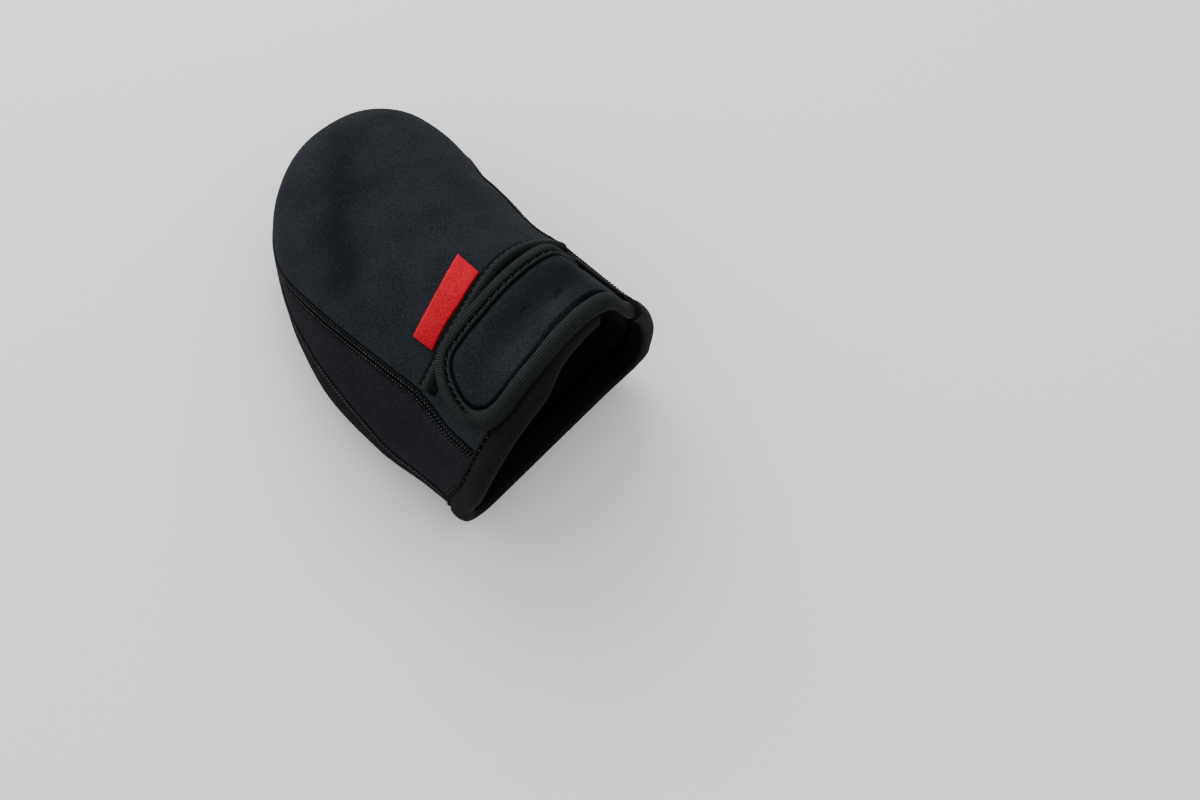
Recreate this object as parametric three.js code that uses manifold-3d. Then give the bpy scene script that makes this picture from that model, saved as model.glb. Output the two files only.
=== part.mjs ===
import * as THREE from "three";
import { mergeVertices } from "three/addons/utils/BufferGeometryUtils.js";
import Module from "manifold-3d";

// A neoprene toe cover for a left cycling shoe. Millimetres, +Z up, toe towards +Y, inner side of the foot
// at +X. A place on the outer wall is given by two numbers: back, the distance behind the toe tip, and
// turn, the angle round the section in degrees: 0 at the inner side, 90 over the crown, 180 at the outer
// side, 270 under the sole.

// Main sizes
const SPINE_LENGTH = 154;
const BALL_WIDTH = 98.3;
const INSTEP_RISE = 67;
const TIP_HEIGHT = 25;
const EDGE_ROUND = 16;
const CROWN_FULLNESS = 2.2;
const COLLAR_SLANT = 0.19;
const WALL = 2.5;
const GAP = 0.3;

// Flatlock seams
const SEAM_WIDTH = 5.5;
const SEAM_RAISE = 0.45;
const SEAM_ROOT = 1.2;
const SINK = 0.1;

// Bindings: how far each tape reaches over its edge, and its thickness
const THROAT_FOLD = 4.6;
const THROAT_TAPE = 0.8;
const COLLAR_FOLD = 8.5;
const COLLAR_TAPE = 1.0;
const STRAP_FOLD = 5.6;
const STRAP_TAPE = 0.7;

// Throat slit and the opening between tab and inner quarter
const SLIT_WIDTH = 3.2;
const TAB_END_ANGLE = 76;
const QUARTER_ANGLE = 46;
const PAST_EDGE_ANGLE = 0.6;
const CLIMB_ANGLE = 3;

// Strap
const STRAP_WIDTH = 34.6;
const STRAP_THICKNESS = 2.6;
const STRAP_PINCH = 1.2;
const STRAP_TIP_LENGTH = 16.5;
const STRAP_TIP_FULLNESS = 1.95;
const STRAP_TIP_SKEW = 4;
const STRAP_TIP_ANGLE = 118;

// Cleat opening in the sole
const CLEAT_LENGTH = 52;
const CLEAT_WIDTH = 40;
const CLEAT_CORNER = 12;
const CLEAT_BACK = 80;
const CLEAT_OFFSET = -12;

// Label
const LABEL_THICKNESS = 0.6;
const LABEL_DEPTHS = [12.3, 9];
const LABEL_HOLLOW = 1.4;
const LABEL_ANGLES = [95, 124];

// Sections of the last. along is a share of SPINE_LENGTH; outer and inner are shares of BALL_WIDTH on
// either side of the toe tip; crown is a share of INSTEP_RISE above the girdle; girdle and floor are shares
// of TIP_HEIGHT; edge is a share of EDGE_ROUND.
const SECTIONS = [
  { along: 0.0, outer: 0.0, inner: 0.0, crown: 0.0, girdle: 1.0, floor: 1.0, edge: 0.0 },
  { along: 0.02, outer: 0.188, inner: 0.156, crown: 0.237, girdle: 0.88, floor: 0.6, edge: 0.56 },
  { along: 0.07, outer: 0.312, inner: 0.27, crown: 0.394, girdle: 0.84, floor: 0.34, edge: 0.81 },
  { along: 0.15, outer: 0.426, inner: 0.341, crown: 0.516, girdle: 0.8, floor: 0.14, edge: 0.94 },
  { along: 0.27, outer: 0.516, inner: 0.369, crown: 0.603, girdle: 0.76, floor: 0.0, edge: 1.0 },
  { along: 0.42, outer: 0.597, inner: 0.364, crown: 0.679, girdle: 0.72, floor: 0.0, edge: 1.0 },
  { along: 0.58, outer: 0.632, inner: 0.356, crown: 0.769, girdle: 0.72, floor: 0.0, edge: 1.0 },
  { along: 0.74, outer: 0.606, inner: 0.381, crown: 0.872, girdle: 0.76, floor: 0.0, edge: 1.0 },
  { along: 0.88, outer: 0.548, inner: 0.394, crown: 0.945, girdle: 0.8, floor: 0.08, edge: 1.0 },
  { along: 1.0, outer: 0.508, inner: 0.414, crown: 1.0, girdle: 0.84, floor: 0.08, edge: 1.0 },
];

// Rear edge of the cover: share of SPINE_LENGTH at each turn
const COLLAR_LINE = [
  { turn: 0, along: 1.02 },
  { turn: 20, along: 1.045 },
  { turn: 46, along: 1.06 },
  { turn: 76, along: 1.045 },
  { turn: 96, along: 1.053 },
  { turn: 112, along: 1.076 },
  { turn: 128, along: 1.07 },
  { turn: 149, along: 1.054 },
  { turn: 166, along: 1.031 },
  { turn: 180, along: 0.995 },
  { turn: 225, along: 0.975 },
  { turn: 315, along: 0.975 },
  { turn: 360, along: 1.02 },
];

// Front edge of the throat binding: share of SPINE_LENGTH at each turn
const THROAT_LINE = [
  { turn: 36, along: 0.752 },
  { turn: 54, along: 0.748 },
  { turn: 66, along: 0.744 },
  { turn: 80, along: 0.741 },
  { turn: 88, along: 0.744 },
  { turn: 92, along: 0.749 },
  { turn: 98, along: 0.762 },
  { turn: 107, along: 0.782 },
  { turn: 116, along: 0.794 },
  { turn: 124, along: 0.806 },
  { turn: 132, along: 0.812 },
  { turn: 145, along: 0.815 },
];

// Upper seam, from the toe tip to the collar: its turn on the outer side at each share of SPINE_LENGTH
const UPPER_SEAM = [
  { along: 0.0, turn: 180 },
  { along: 0.05, turn: 180 },
  { along: 0.12, turn: 178 },
  { along: 0.2, turn: 174 },
  { along: 0.275, turn: 168 },
  { along: 0.35, turn: 158.5 },
  { along: 0.42, turn: 152 },
  { along: 0.5, turn: 147 },
  { along: 0.6, turn: 142.8 },
  { along: 0.72, turn: 141.3 },
  { along: 0.8, turn: 141 },
  { along: 0.87, turn: 144 },
  { along: 0.94, turn: 147.5 },
  { along: 1.1, turn: 148.5 },
];

// Lower seam: its height on the outer and the inner side, as shares of TIP_HEIGHT, at each share of
// SPINE_LENGTH
const LOWER_SEAM = [
  { along: -0.2, outer: 0.58, inner: 0.66 },
  { along: 0.02, outer: 0.6, inner: 0.68 },
  { along: 0.15, outer: 0.78, inner: 0.86 },
  { along: 0.3, outer: 0.98, inner: 1.04 },
  { along: 0.42, outer: 1.13, inner: 1.16 },
  { along: 0.58, outer: 1.24, inner: 1.26 },
  { along: 0.75, outer: 1.12, inner: 1.2 },
  { along: 0.86, outer: 0.94, inner: 1.08 },
  { along: 1.2, outer: 0.9, inner: 1.04 },
];

// Strap: centre line as a share of SPINE_LENGTH, and width as a share of STRAP_WIDTH, at each turn
const STRAP_LINE = [
  { turn: 46, centre: 0.95, width: 0.93 },
  { turn: 54, centre: 0.939, width: 1.03 },
  { turn: 60, centre: 0.932, width: 1.045 },
  { turn: 66, centre: 0.928, width: 1.03 },
  { turn: 78, centre: 0.926, width: 1.0 },
  { turn: 92, centre: 0.929, width: 0.983 },
  { turn: 105, centre: 0.936, width: 0.974 },
  { turn: 118, centre: 0.937, width: 0.951 },
];

// How finely the surfaces are divided
const SHELL_ROWS = 26;
const QUARTER_STEPS = 6;
const INSTEP_STEPS = 4;
const TAB_STEPS = 14;
const CORNER_STEPS = 6;
const FLOOR_STEPS = 3;
const SEAM_STEPS = 24;
const TAPE_STEPS = 28;
const STRAP_STEPS = 15;
const TIP_STEPS = 12;
const LABEL_STEPS = 8;

const wasm = await Module();
wasm.setup();

// A smooth curve through a table's rows that never overshoots between two of them
function curveThrough(rows, from, to) {
  const xs = rows.map((row) => row[from]);
  const ys = rows.map((row) => row[to]);
  const last = xs.length - 1;
  const slopes = xs.slice(1).map((x, i) => (ys[i + 1] - ys[i]) / (x - xs[i]));
  const tangents = xs.map((_, i) => {
    if (i === 0) return slopes[0];
    if (i === last) return slopes[last - 1];
    const [before, after] = [slopes[i - 1], slopes[i]];
    return before * after <= 0 ? 0 : (2 * before * after) / (before + after);
  });
  return (x) => {
    const inside = Math.min(Math.max(x, xs[0]), xs[last]);
    const found = xs.findIndex((value) => value > inside);
    const i = (found < 0 ? last : found) - 1;
    const width = xs[i + 1] - xs[i];
    const s = (inside - xs[i]) / width;
    const rest = 1 - s;
    return (
      ys[i] * (1 + 2 * s) * rest * rest +
      width * tangents[i] * s * rest * rest +
      ys[i + 1] * s * s * (3 - 2 * s) -
      width * tangents[i + 1] * s * s * rest
    );
  };
}

// Sections are spaced by this stage, which crowds them at the blunt toe tip
const stageOf = (along) => Math.acos(1 - Math.min(Math.max(along, 0), 1)) / (Math.PI / 2);
const stagedSections = SECTIONS.map((row) => ({ ...row, stage: stageOf(row.along) }));
const sectionCurves = Object.fromEntries(
  ["outer", "inner", "crown", "girdle", "floor", "edge"].map((name) => [
    name,
    curveThrough(stagedSections, "stage", name),
  ]),
);
const collarLine = curveThrough(COLLAR_LINE, "turn", "along");
const throatLine = curveThrough(THROAT_LINE, "turn", "along");
const upperSeamTurn = curveThrough(UPPER_SEAM, "along", "turn");
const lowerSeamOuter = curveThrough(LOWER_SEAM, "along", "outer");
const lowerSeamInner = curveThrough(LOWER_SEAM, "along", "inner");
const strapCentre = curveThrough(STRAP_LINE, "turn", "centre");
const strapShare = curveThrough(STRAP_LINE, "turn", "width");

function sectionAt(back) {
  const stage = stageOf(back / SPINE_LENGTH);
  const girdle = sectionCurves.girdle(stage) * TIP_HEIGHT;
  return {
    outer: sectionCurves.outer(stage) * BALL_WIDTH,
    inner: sectionCurves.inner(stage) * BALL_WIDTH,
    girdle,
    crown: sectionCurves.crown(stage) * INSTEP_RISE,
    drop: girdle - sectionCurves.floor(stage) * TIP_HEIGHT,
    edge: sectionCurves.edge(stage) * EDGE_ROUND,
  };
}

// The upper half of a section is a full arch from girdle to girdle
function archPoint(section, turn) {
  const angle = THREE.MathUtils.degToRad(turn);
  const across = Math.sign(Math.cos(angle)) * Math.abs(Math.cos(angle)) ** (2 / CROWN_FULLNESS);
  const up = Math.abs(Math.sin(angle)) ** (2 / CROWN_FULLNESS);
  const x = across * (across > 0 ? section.inner : section.outer);
  return [x, section.girdle + section.crown * up];
}

// The lower half is a rounded corner, the flat floor, and the other corner
function floorPoint(section, turn) {
  const share = (turn - 180) / 180;
  const corner = Math.min(share, 1 - share) / 0.25;
  const flat = section.outer + section.inner - 2 * section.edge;
  if (corner >= 1) {
    return [-section.outer + section.edge + ((share - 0.25) / 0.5) * flat, section.girdle - section.drop];
  }
  const angle = (corner * Math.PI) / 2;
  const inset = section.edge * (1 - Math.cos(angle));
  const x = share < 0.5 ? -section.outer + inset : section.inner - inset;
  return [x, section.girdle - section.drop * Math.sin(angle)];
}

function wallPoint(back, turn) {
  const section = sectionAt(back);
  const wrapped = ((turn % 360) + 360) % 360;
  const [x, z] = wrapped <= 180 ? archPoint(section, wrapped) : floorPoint(section, wrapped);
  const slant = COLLAR_SLANT * x * Math.min(back / SPINE_LENGTH, 1) ** 2;
  return new THREE.Vector3(x, slant - back, z);
}

// Point, tangents and outward normal of the wall
function wallFrame(back, turn) {
  const stepBack = 0.4;
  const stepTurn = 0.5;
  const start = Math.max(back, stepBack * 1.5);
  const along = wallPoint(start + stepBack, turn).sub(wallPoint(start - stepBack, turn));
  const around = wallPoint(start, turn + stepTurn).sub(wallPoint(start, turn - stepTurn));
  along.divideScalar(2 * stepBack);
  around.divideScalar(2 * stepTurn);
  const normal = new THREE.Vector3().crossVectors(around, along).normalize();
  return { point: wallPoint(back, turn), along, around, normal };
}

// A point at a height above the outer wall, or under it where the height is negative
function raised(back, turn, height) {
  const { point, normal } = wallFrame(back, turn);
  return point.addScaledVector(normal, height);
}

// A path's point moved over the wall by a distance, to the side of the path that is towards the toe where
// turn grows
function acrossPath(path, index, distance) {
  const before = path[Math.max(index - 1, 0)];
  const after = path[Math.min(index + 1, path.length - 1)];
  const here = path[index];
  const { along, around, normal } = wallFrame(here.back, here.turn);
  const heading = new THREE.Vector3()
    .addScaledVector(along, after.back - before.back)
    .addScaledVector(around, after.turn - before.turn);
  const side = new THREE.Vector3().crossVectors(heading, normal).normalize();
  const [aa, ab, bb] = [along.dot(along), along.dot(around), around.dot(around)];
  const [sa, sb] = [side.dot(along), side.dot(around)];
  const size = aa * bb - ab * ab;
  return {
    back: here.back + (distance * (sa * bb - sb * ab)) / size,
    turn: here.turn + (distance * (sb * aa - sa * ab)) / size,
  };
}

// A skin through loops of points; where a loop shrinks to a line or a point, the skin is closed there
function skin(loops) {
  const size = loops[0].length;
  const positions = loops.flat().flatMap((point) => [point.x, point.y, point.z]);
  const index = [];
  for (let row = 0; row < loops.length - 1; row += 1) {
    for (let i = 0; i < size; i += 1) {
      const next = (i + 1) % size;
      const [a, b] = [row * size + i, row * size + next];
      index.push(a, b, b + size, a, b + size, a + size);
    }
  }
  const geometry = new THREE.BufferGeometry();
  geometry.setAttribute("position", new THREE.Float32BufferAttribute(positions, 3));
  geometry.setIndex(index);
  return mergeVertices(geometry);
}

// A loop that runs out and back is closed at its end on the line half way between the two runs
function halfWay(loop) {
  return loop.map((point, i) => point.clone().lerp(loop[loop.length - 1 - i], 0.5));
}

const capped = (loops) => [halfWay(loops[0]), ...loops, halfWay(loops[loops.length - 1])];

// A manifold solid from a closed skin, with its faces turned outwards
function solid(geometry) {
  const position = geometry.getAttribute("position");
  const index = Array.from(geometry.getIndex().array);
  const triangles = [];
  let volume = 0;
  const corners = [new THREE.Vector3(), new THREE.Vector3(), new THREE.Vector3()];
  for (let i = 0; i < index.length; i += 3) {
    const [a, b, c] = index.slice(i, i + 3);
    if (a === b || b === c || c === a) continue;
    triangles.push([a, b, c]);
    [a, b, c].forEach((vertex, k) => corners[k].fromBufferAttribute(position, vertex));
    volume += corners[0].dot(corners[1].cross(corners[2]));
  }
  const outward = volume < 0 ? triangles.map(([a, b, c]) => [a, c, b]) : triangles;
  return new wasm.Manifold(
    new wasm.Mesh({
      numProp: 3,
      vertProperties: Float32Array.from(position.array),
      triVerts: Uint32Array.from(outward.flat()),
    }),
  );
}

function meshOf(name, shape, material) {
  const { numProp, vertProperties, triVerts } = shape.getMesh();
  const geometry = new THREE.BufferGeometry();
  const positions = new Float32Array((vertProperties.length / numProp) * 3);
  for (let i = 0; i < positions.length / 3; i += 1) {
    positions.set(vertProperties.subarray(i * numProp, i * numProp + 3), i * 3);
  }
  geometry.setAttribute("position", new THREE.BufferAttribute(positions, 3));
  geometry.setIndex(new THREE.BufferAttribute(triVerts, 1));
  geometry.computeVertexNormals();
  const mesh = new THREE.Mesh(geometry, material);
  mesh.name = name;
  return mesh;
}

const spread = (from, to, steps) =>
  Array.from({ length: steps + 1 }, (_, i) => from + ((to - from) * i) / steps);

// Turns once round a section, close together over the arch and far apart on the flat floor
function turnsRound() {
  return [
    ...spread(0, QUARTER_ANGLE, QUARTER_STEPS),
    ...spread(QUARTER_ANGLE, TAB_END_ANGLE, INSTEP_STEPS).slice(1),
    ...spread(TAB_END_ANGLE, 180, TAB_STEPS).slice(1),
    ...spread(180, 225, CORNER_STEPS).slice(1),
    ...spread(225, 315, FLOOR_STEPS).slice(1),
    ...spread(315, 360, CORNER_STEPS).slice(1, -1),
  ];
}

// The hollow form of the whole cover, open at the collar: the inner face, the collar's edge, the outer face
function coverShell() {
  const turns = turnsRound();
  const shares = spread(0, 1, SHELL_ROWS).map((t) => 1 - Math.cos((t * Math.PI) / 2));
  const rows = shares.map((share) => turns.map((turn) => ({ turn, back: share * collarLine(turn) * SPINE_LENGTH })));
  const face = (height) =>
    rows.slice(1).map((row) => row.map(({ back, turn }) => raised(back, turn, height)));
  const tip = (height) => turns.map(() => new THREE.Vector3(0, height, TIP_HEIGHT));
  return solid(skin([tip(-WALL), ...face(-WALL), ...face(0).reverse(), tip(0)]));
}

// A band that stands proud of the wall along a path of wall frames
function raisedBand(path, width) {
  const profile = [
    [width / 2, -SINK],
    [width / 3, SEAM_RAISE],
    [-width / 3, SEAM_RAISE],
    [-width / 2, -SINK],
    [-width / 2, -SEAM_ROOT],
    [-width / 3, -SEAM_ROOT],
    [width / 3, -SEAM_ROOT],
    [width / 2, -SEAM_ROOT],
  ];
  const loops = path.map(({ point, normal }, i) => {
    const before = path[Math.max(i - 1, 0)].point;
    const after = path[Math.min(i + 1, path.length - 1)].point;
    const side = after.clone().sub(before).cross(normal).normalize();
    return profile.map(([aside, height]) =>
      point.clone().addScaledVector(side, aside).addScaledVector(normal, height),
    );
  });
  return solid(skin(capped(loops)));
}

// The upper seam runs from close before the collar binding forward, round the toe tip, and back on the
// other side
function upperSeam() {
  const half = (mirrored) => {
    const turnAt = (along) => (mirrored ? 180 - upperSeamTurn(along) : upperSeamTurn(along));
    const end = collarLine(turnAt(1)) - (COLLAR_FOLD + SEAM_WIDTH / 2) / SPINE_LENGTH;
    return spread(0, 1, SEAM_STEPS)
      .slice(1)
      .map((stage) => end * (1 - Math.cos((stage * Math.PI) / 2)))
      .map((along) => wallFrame(along * SPINE_LENGTH, turnAt(along)));
  };
  const tip = { point: new THREE.Vector3(0, 0, TIP_HEIGHT), normal: new THREE.Vector3(0, 1, 0) };
  return raisedBand([...half(false).reverse(), tip, ...half(true)], SEAM_WIDTH);
}

// Everything below the lower seam, with a clearance added to its top
function belowLowerSeam(clearance) {
  const half = BALL_WIDTH / 2;
  const loops = spread(-0.2, 1.2, SEAM_STEPS).map((along) => {
    const y = -along * SPINE_LENGTH;
    const outer = lowerSeamOuter(along) * TIP_HEIGHT + clearance;
    const inner = lowerSeamInner(along) * TIP_HEIGHT + clearance;
    const rise = inner - outer;
    return [
      new THREE.Vector3(-3 * half, y, outer - rise),
      new THREE.Vector3(3 * half, y, inner + rise),
      new THREE.Vector3(3 * half, y, -half),
      new THREE.Vector3(-3 * half, y, -half),
    ];
  });
  return solid(skin(capped(loops)));
}

// A cutter through the wall over a range of turns, between a front and a rear edge
function wallCutter(turns, front, rear) {
  const loops = turns.map((turn) => [
    raised(front(turn), turn, 2 * WALL),
    raised(rear(turn), turn, 2 * WALL),
    raised(rear(turn), turn, -3 * WALL),
    raised(front(turn), turn, -3 * WALL),
  ]);
  return solid(skin(capped(loops)));
}

const vampEdge = (turn) => throatLine(turn) * SPINE_LENGTH + THROAT_FOLD;

// The throat runs from the raised seam on the inner side to the one on the outer side
function throatTurns() {
  const along = THROAT_LINE[THROAT_LINE.length - 1].along;
  const seamTurn = upperSeamTurn(along);
  const perTurn = wallFrame(along * SPINE_LENGTH, seamTurn).around.length();
  const clear = (SEAM_WIDTH / 2 + GAP) / perTurn;
  return [180 - seamTurn + clear, seamTurn - clear];
}

const collarEdge = (turn) => collarLine(((turn % 360) + 360) % 360) * SPINE_LENGTH;

function throatSlit() {
  const rear = (turn) => vampEdge(turn) + SLIT_WIDTH;
  return wallCutter(spread(...throatTurns(), 34), vampEdge, rear);
}

function instepOpening() {
  const past = SPINE_LENGTH * 1.25;
  const turns = spread(QUARTER_ANGLE + PAST_EDGE_ANGLE, TAB_END_ANGLE - PAST_EDGE_ANGLE, 10);
  return wallCutter(turns, vampEdge, () => past);
}

function upperSolid(shell) {
  return shell
    .add(upperSeam())
    .subtract(belowLowerSeam(GAP))
    .subtract(throatSlit())
    .subtract(instepOpening());
}

// A flat rounded rectangle, cut straight up through the sole
function cleatCutter() {
  const [w, l, r] = [CLEAT_WIDTH / 2, CLEAT_LENGTH / 2, CLEAT_CORNER];
  const outline = new THREE.Shape();
  outline.moveTo(w, -l + r);
  outline.absarc(w - r, l - r, r, 0, Math.PI / 2);
  outline.absarc(-w + r, l - r, r, Math.PI / 2, Math.PI);
  outline.absarc(-w + r, -l + r, r, Math.PI, 1.5 * Math.PI);
  outline.absarc(w - r, -l + r, r, 1.5 * Math.PI, 2 * Math.PI);
  const depth = 6 * WALL;
  const block = new THREE.ExtrudeGeometry(outline, { depth, bevelEnabled: false, curveSegments: 6 });
  block.translate(CLEAT_OFFSET, -CLEAT_BACK, -3 * WALL);
  block.deleteAttribute("normal");
  block.deleteAttribute("uv");
  return solid(mergeVertices(block));
}

const soleSolid = (shell) => shell.intersect(belowLowerSeam(0)).subtract(cleatCutter());

// A tape folded over an edge. The edge lies on the path; the tape reaches over it by fold, on both faces of
// a layer that lies between the heights under and over. placeAt gives the place at a reach inwards from a
// path's point.
function foldedTape(path, { fold, tape, under, over, lift = () => 0, placeAt = acrossPath }) {
  const outerFace = over + GAP + tape;
  const innerFace = under - GAP - tape;
  const middle = (over + under) / 2;
  const outline = [
    [fold, outerFace],
    [0, outerFace],
    [-GAP - tape, middle + (outerFace - middle) * 0.45],
    [-GAP - tape, middle + (innerFace - middle) * 0.45],
    [0, innerFace],
    [fold, innerFace],
    [fold, under - GAP],
    [0, under - GAP],
    [-GAP, under - GAP],
    [-GAP, over + GAP],
    [0, over + GAP],
    [fold, over + GAP],
  ];
  const loops = path.map((_, i) =>
    outline.map(([reach, height]) => {
      const place = placeAt(path, i, reach);
      return raised(place.back, place.turn, height + lift(place.turn));
    }),
  );
  return solid(skin(capped(loops)));
}

function throatBinding() {
  const [inner, outer] = throatTurns();
  const turns = spread(inner + GAP, outer - GAP, TAPE_STEPS);
  const path = turns.map((turn) => ({ turn, back: vampEdge(turn) }));
  return foldedTape(path, { fold: THROAT_FOLD, tape: THROAT_TAPE, under: -WALL, over: 0 });
}

function collarBinding() {
  const tab = turnsRound().filter((turn) => turn >= TAB_END_ANGLE);
  const quarterEnd = QUARTER_ANGLE - 2 * PAST_EDGE_ANGLE;
  const quarter = [...turnsRound().filter((turn) => turn < QUARTER_ANGLE), quarterEnd];
  const turns = [...tab, ...quarter.map((turn) => turn + 360)];
  const path = turns.map((turn) => ({ turn, back: collarEdge(turn) }));
  return foldedTape(path, { fold: COLLAR_FOLD, tape: COLLAR_TAPE, under: -WALL, over: 0 });
}

// Height of the strap's underside where it lies over the tab: its tape rests on the collar binding's outer
// face
const strapUnder = GAP + COLLAR_TAPE + GAP + STRAP_TAPE + GAP;

// On the inner side the strap carries on the quarter's wall, and it climbs from there on to the tab
function strapLift(turn) {
  const climbed = THREE.MathUtils.smoothstep(turn, QUARTER_ANGLE + CLIMB_ANGLE, TAB_END_ANGLE - CLIMB_ANGLE);
  return (climbed - 1) * (strapUnder + WALL);
}

// The strap's edge from the root along the rear, round the tip and back along the front. Each place has its
// partner on the centre line.
function strapOutline() {
  const half = (turn) => (strapShare(turn) * STRAP_WIDTH) / 2;
  const centre = (turn) => strapCentre(turn) * SPINE_LENGTH;
  const rootTurn = QUARTER_ANGLE + 2 * PAST_EDGE_ANGLE;
  const straight = (side) =>
    spread(rootTurn, STRAP_TIP_ANGLE, STRAP_STEPS).map((turn) => ({
      turn,
      back: centre(turn) + side * half(turn),
      middle: { turn, back: centre(turn) },
    }));
  const middle = { turn: STRAP_TIP_ANGLE, back: centre(STRAP_TIP_ANGLE) };
  const perTurn = wallFrame(middle.back, middle.turn).around.length();
  const power = 2 / STRAP_TIP_FULLNESS;
  const tip = spread(90, -90, TIP_STEPS).slice(1, -1).map((degrees) => {
    const angle = THREE.MathUtils.degToRad(degrees);
    const out = STRAP_TIP_LENGTH * Math.abs(Math.cos(angle)) ** power;
    const aside = half(STRAP_TIP_ANGLE) * Math.sign(Math.sin(angle)) * Math.abs(Math.sin(angle)) ** power;
    const skew = STRAP_TIP_SKEW * (out / STRAP_TIP_LENGTH) ** 2;
    return { turn: middle.turn + out / perTurn, back: middle.back + aside + skew, middle };
  });
  return [...straight(1), ...tip, ...straight(-1).reverse()];
}

// A place at a reach inwards from the strap's edge, at most a given share of the way to the centre line
function insideStrap(outline, index, reach, most = 1) {
  const { back, turn, middle } = outline[index];
  const span = wallPoint(back, turn).distanceTo(wallPoint(middle.back, middle.turn));
  const share = Math.min(reach / span, most);
  return {
    back: THREE.MathUtils.lerp(back, middle.back, share),
    turn: THREE.MathUtils.lerp(turn, middle.turn, share),
  };
}

// The strap's panel: pinched where its binding holds it, full in the middle
function strapSolid() {
  const outline = strapOutline();
  const swell = (STRAP_THICKNESS - STRAP_PINCH) / 2;
  const rings = [
    { reach: 0, most: 0, swell: 0 },
    { reach: STRAP_FOLD, most: 0.7, swell: 0 },
    { reach: STRAP_FOLD * 1.25, most: 0.8, swell: swell / 2 },
    { reach: STRAP_FOLD * 1.8, most: 0.9, swell },
    { reach: STRAP_WIDTH, most: 1, swell },
  ];
  const ring = ({ reach, most }, height) =>
    outline.map((_, i) => {
      const { back, turn } = insideStrap(outline, i, reach, most);
      return raised(back, turn, height + strapLift(turn));
    });
  const bottom = rings.map((row) => ring(row, strapUnder - row.swell));
  const top = rings.map((row) => ring(row, strapUnder + STRAP_PINCH + row.swell));
  return solid(skin([...bottom.reverse(), ...top]));
}

function strapBinding() {
  return foldedTape(strapOutline(), {
    fold: STRAP_FOLD,
    tape: STRAP_TAPE,
    under: strapUnder,
    over: strapUnder + STRAP_PINCH,
    lift: strapLift,
    placeAt: insideStrap,
  });
}

// The label's rear edge follows the throat binding, and its front edge is hollow enough to look straight where
// the crown bends
function labelSolid() {
  const rear = (turn) => throatLine(turn) * SPINE_LENGTH - GAP;
  const frontEnds = LABEL_ANGLES.map((turn, end) => rear(turn) - LABEL_DEPTHS[end]);
  const loops = spread(0, 1, LABEL_STEPS).map((share) => {
    const turn = THREE.MathUtils.lerp(...LABEL_ANGLES, share);
    const front = THREE.MathUtils.lerp(...frontEnds, share) + LABEL_HOLLOW * Math.sin(Math.PI * share);
    const line = (height) => spread(rear(turn), front, 3).map((back) => raised(back, turn, height));
    return [...line(GAP), ...line(GAP + LABEL_THICKNESS).reverse()];
  });
  return solid(skin(capped(loops)));
}

const cloth = (color, roughness) => new THREE.MeshStandardMaterial({ color, roughness, metalness: 0 });

function assemble() {
  const shell = coverShell();
  const cover = new THREE.Group();
  cover.add(
    meshOf("upper", upperSolid(shell), cloth(0x1d1f24, 0.85)),
    meshOf("sole", soleSolid(shell), cloth(0x17181a, 0.9)),
    meshOf("strap", strapSolid(), cloth(0x1c1d22, 0.85)),
    meshOf("strap_binding", strapBinding(), cloth(0x121214, 0.8)),
    meshOf("throat_binding", throatBinding(), cloth(0x121214, 0.8)),
    meshOf("collar_binding", collarBinding(), cloth(0x131316, 0.8)),
    meshOf("label", labelSolid(), cloth(0xb5121f, 0.7)),
  );
  const box = new THREE.Box3().setFromObject(cover);
  const centre = box.getCenter(new THREE.Vector3());
  cover.position.set(-centre.x, -centre.y, -box.min.z);
  return cover;
}

export default assemble();
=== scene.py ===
"""Dressed model of a neoprene toe cover for a left cycling shoe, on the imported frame.

A place on the cover's outer wall is given by two numbers, as in the part itself: back, the distance in
millimetres behind the toe tip, and turn, the angle in degrees round the section (0 inner side, 90 crown,
180 outer side, 270 under the sole). Sizes are millimetres until a mesh is made, which is in metres.
"""

import logging
import math
from dataclasses import dataclass, field
from enum import Enum
from typing import Callable, NamedTuple, Sequence

import bpy
import numpy as np
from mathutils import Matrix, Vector
from mathutils.kdtree import KDTree

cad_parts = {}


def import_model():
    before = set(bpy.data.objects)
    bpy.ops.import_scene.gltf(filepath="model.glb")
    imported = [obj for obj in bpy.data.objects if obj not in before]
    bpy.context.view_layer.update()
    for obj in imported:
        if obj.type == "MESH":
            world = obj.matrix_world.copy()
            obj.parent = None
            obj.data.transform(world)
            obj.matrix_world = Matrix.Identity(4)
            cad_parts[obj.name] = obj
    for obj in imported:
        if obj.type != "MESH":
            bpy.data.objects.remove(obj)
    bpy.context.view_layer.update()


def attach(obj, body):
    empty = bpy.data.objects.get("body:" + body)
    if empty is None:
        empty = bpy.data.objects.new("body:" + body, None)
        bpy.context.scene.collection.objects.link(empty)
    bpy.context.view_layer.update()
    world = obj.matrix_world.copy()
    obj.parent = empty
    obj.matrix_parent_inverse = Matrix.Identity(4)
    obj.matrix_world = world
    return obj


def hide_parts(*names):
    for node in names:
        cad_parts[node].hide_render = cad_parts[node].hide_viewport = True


Array = np.ndarray
Curve = Callable[[Array], Array]
Color = tuple[float, float, float, float]

BODY = "root"
TO_METRES = 0.001
BEAD_RISE = 0.38
BEAD_LEAD = 0.25
MM_PER_TURN = 0.92
SHADE = "shade"
LOG = logging.getLogger("toe_cover")


class Section(NamedTuple):
    """A section of the last; its numbers are shares of the wall's main sizes."""

    along: float
    outer: float
    inner: float
    crown: float
    girdle: float
    floor: float
    edge: float


class LineRow(NamedTuple):
    """A row of a line round the wall: the share of the spine's length at a turn."""

    turn: float
    along: float


class SeamRow(NamedTuple):
    """A row of the lower seam: its height at a share of the spine's length, as shares of the tip's height."""

    along: float
    outer: float
    inner: float


class StrapRow(NamedTuple):
    """A row of the strap: centre line and width at a turn."""

    turn: float
    centre: float
    width: float


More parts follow.
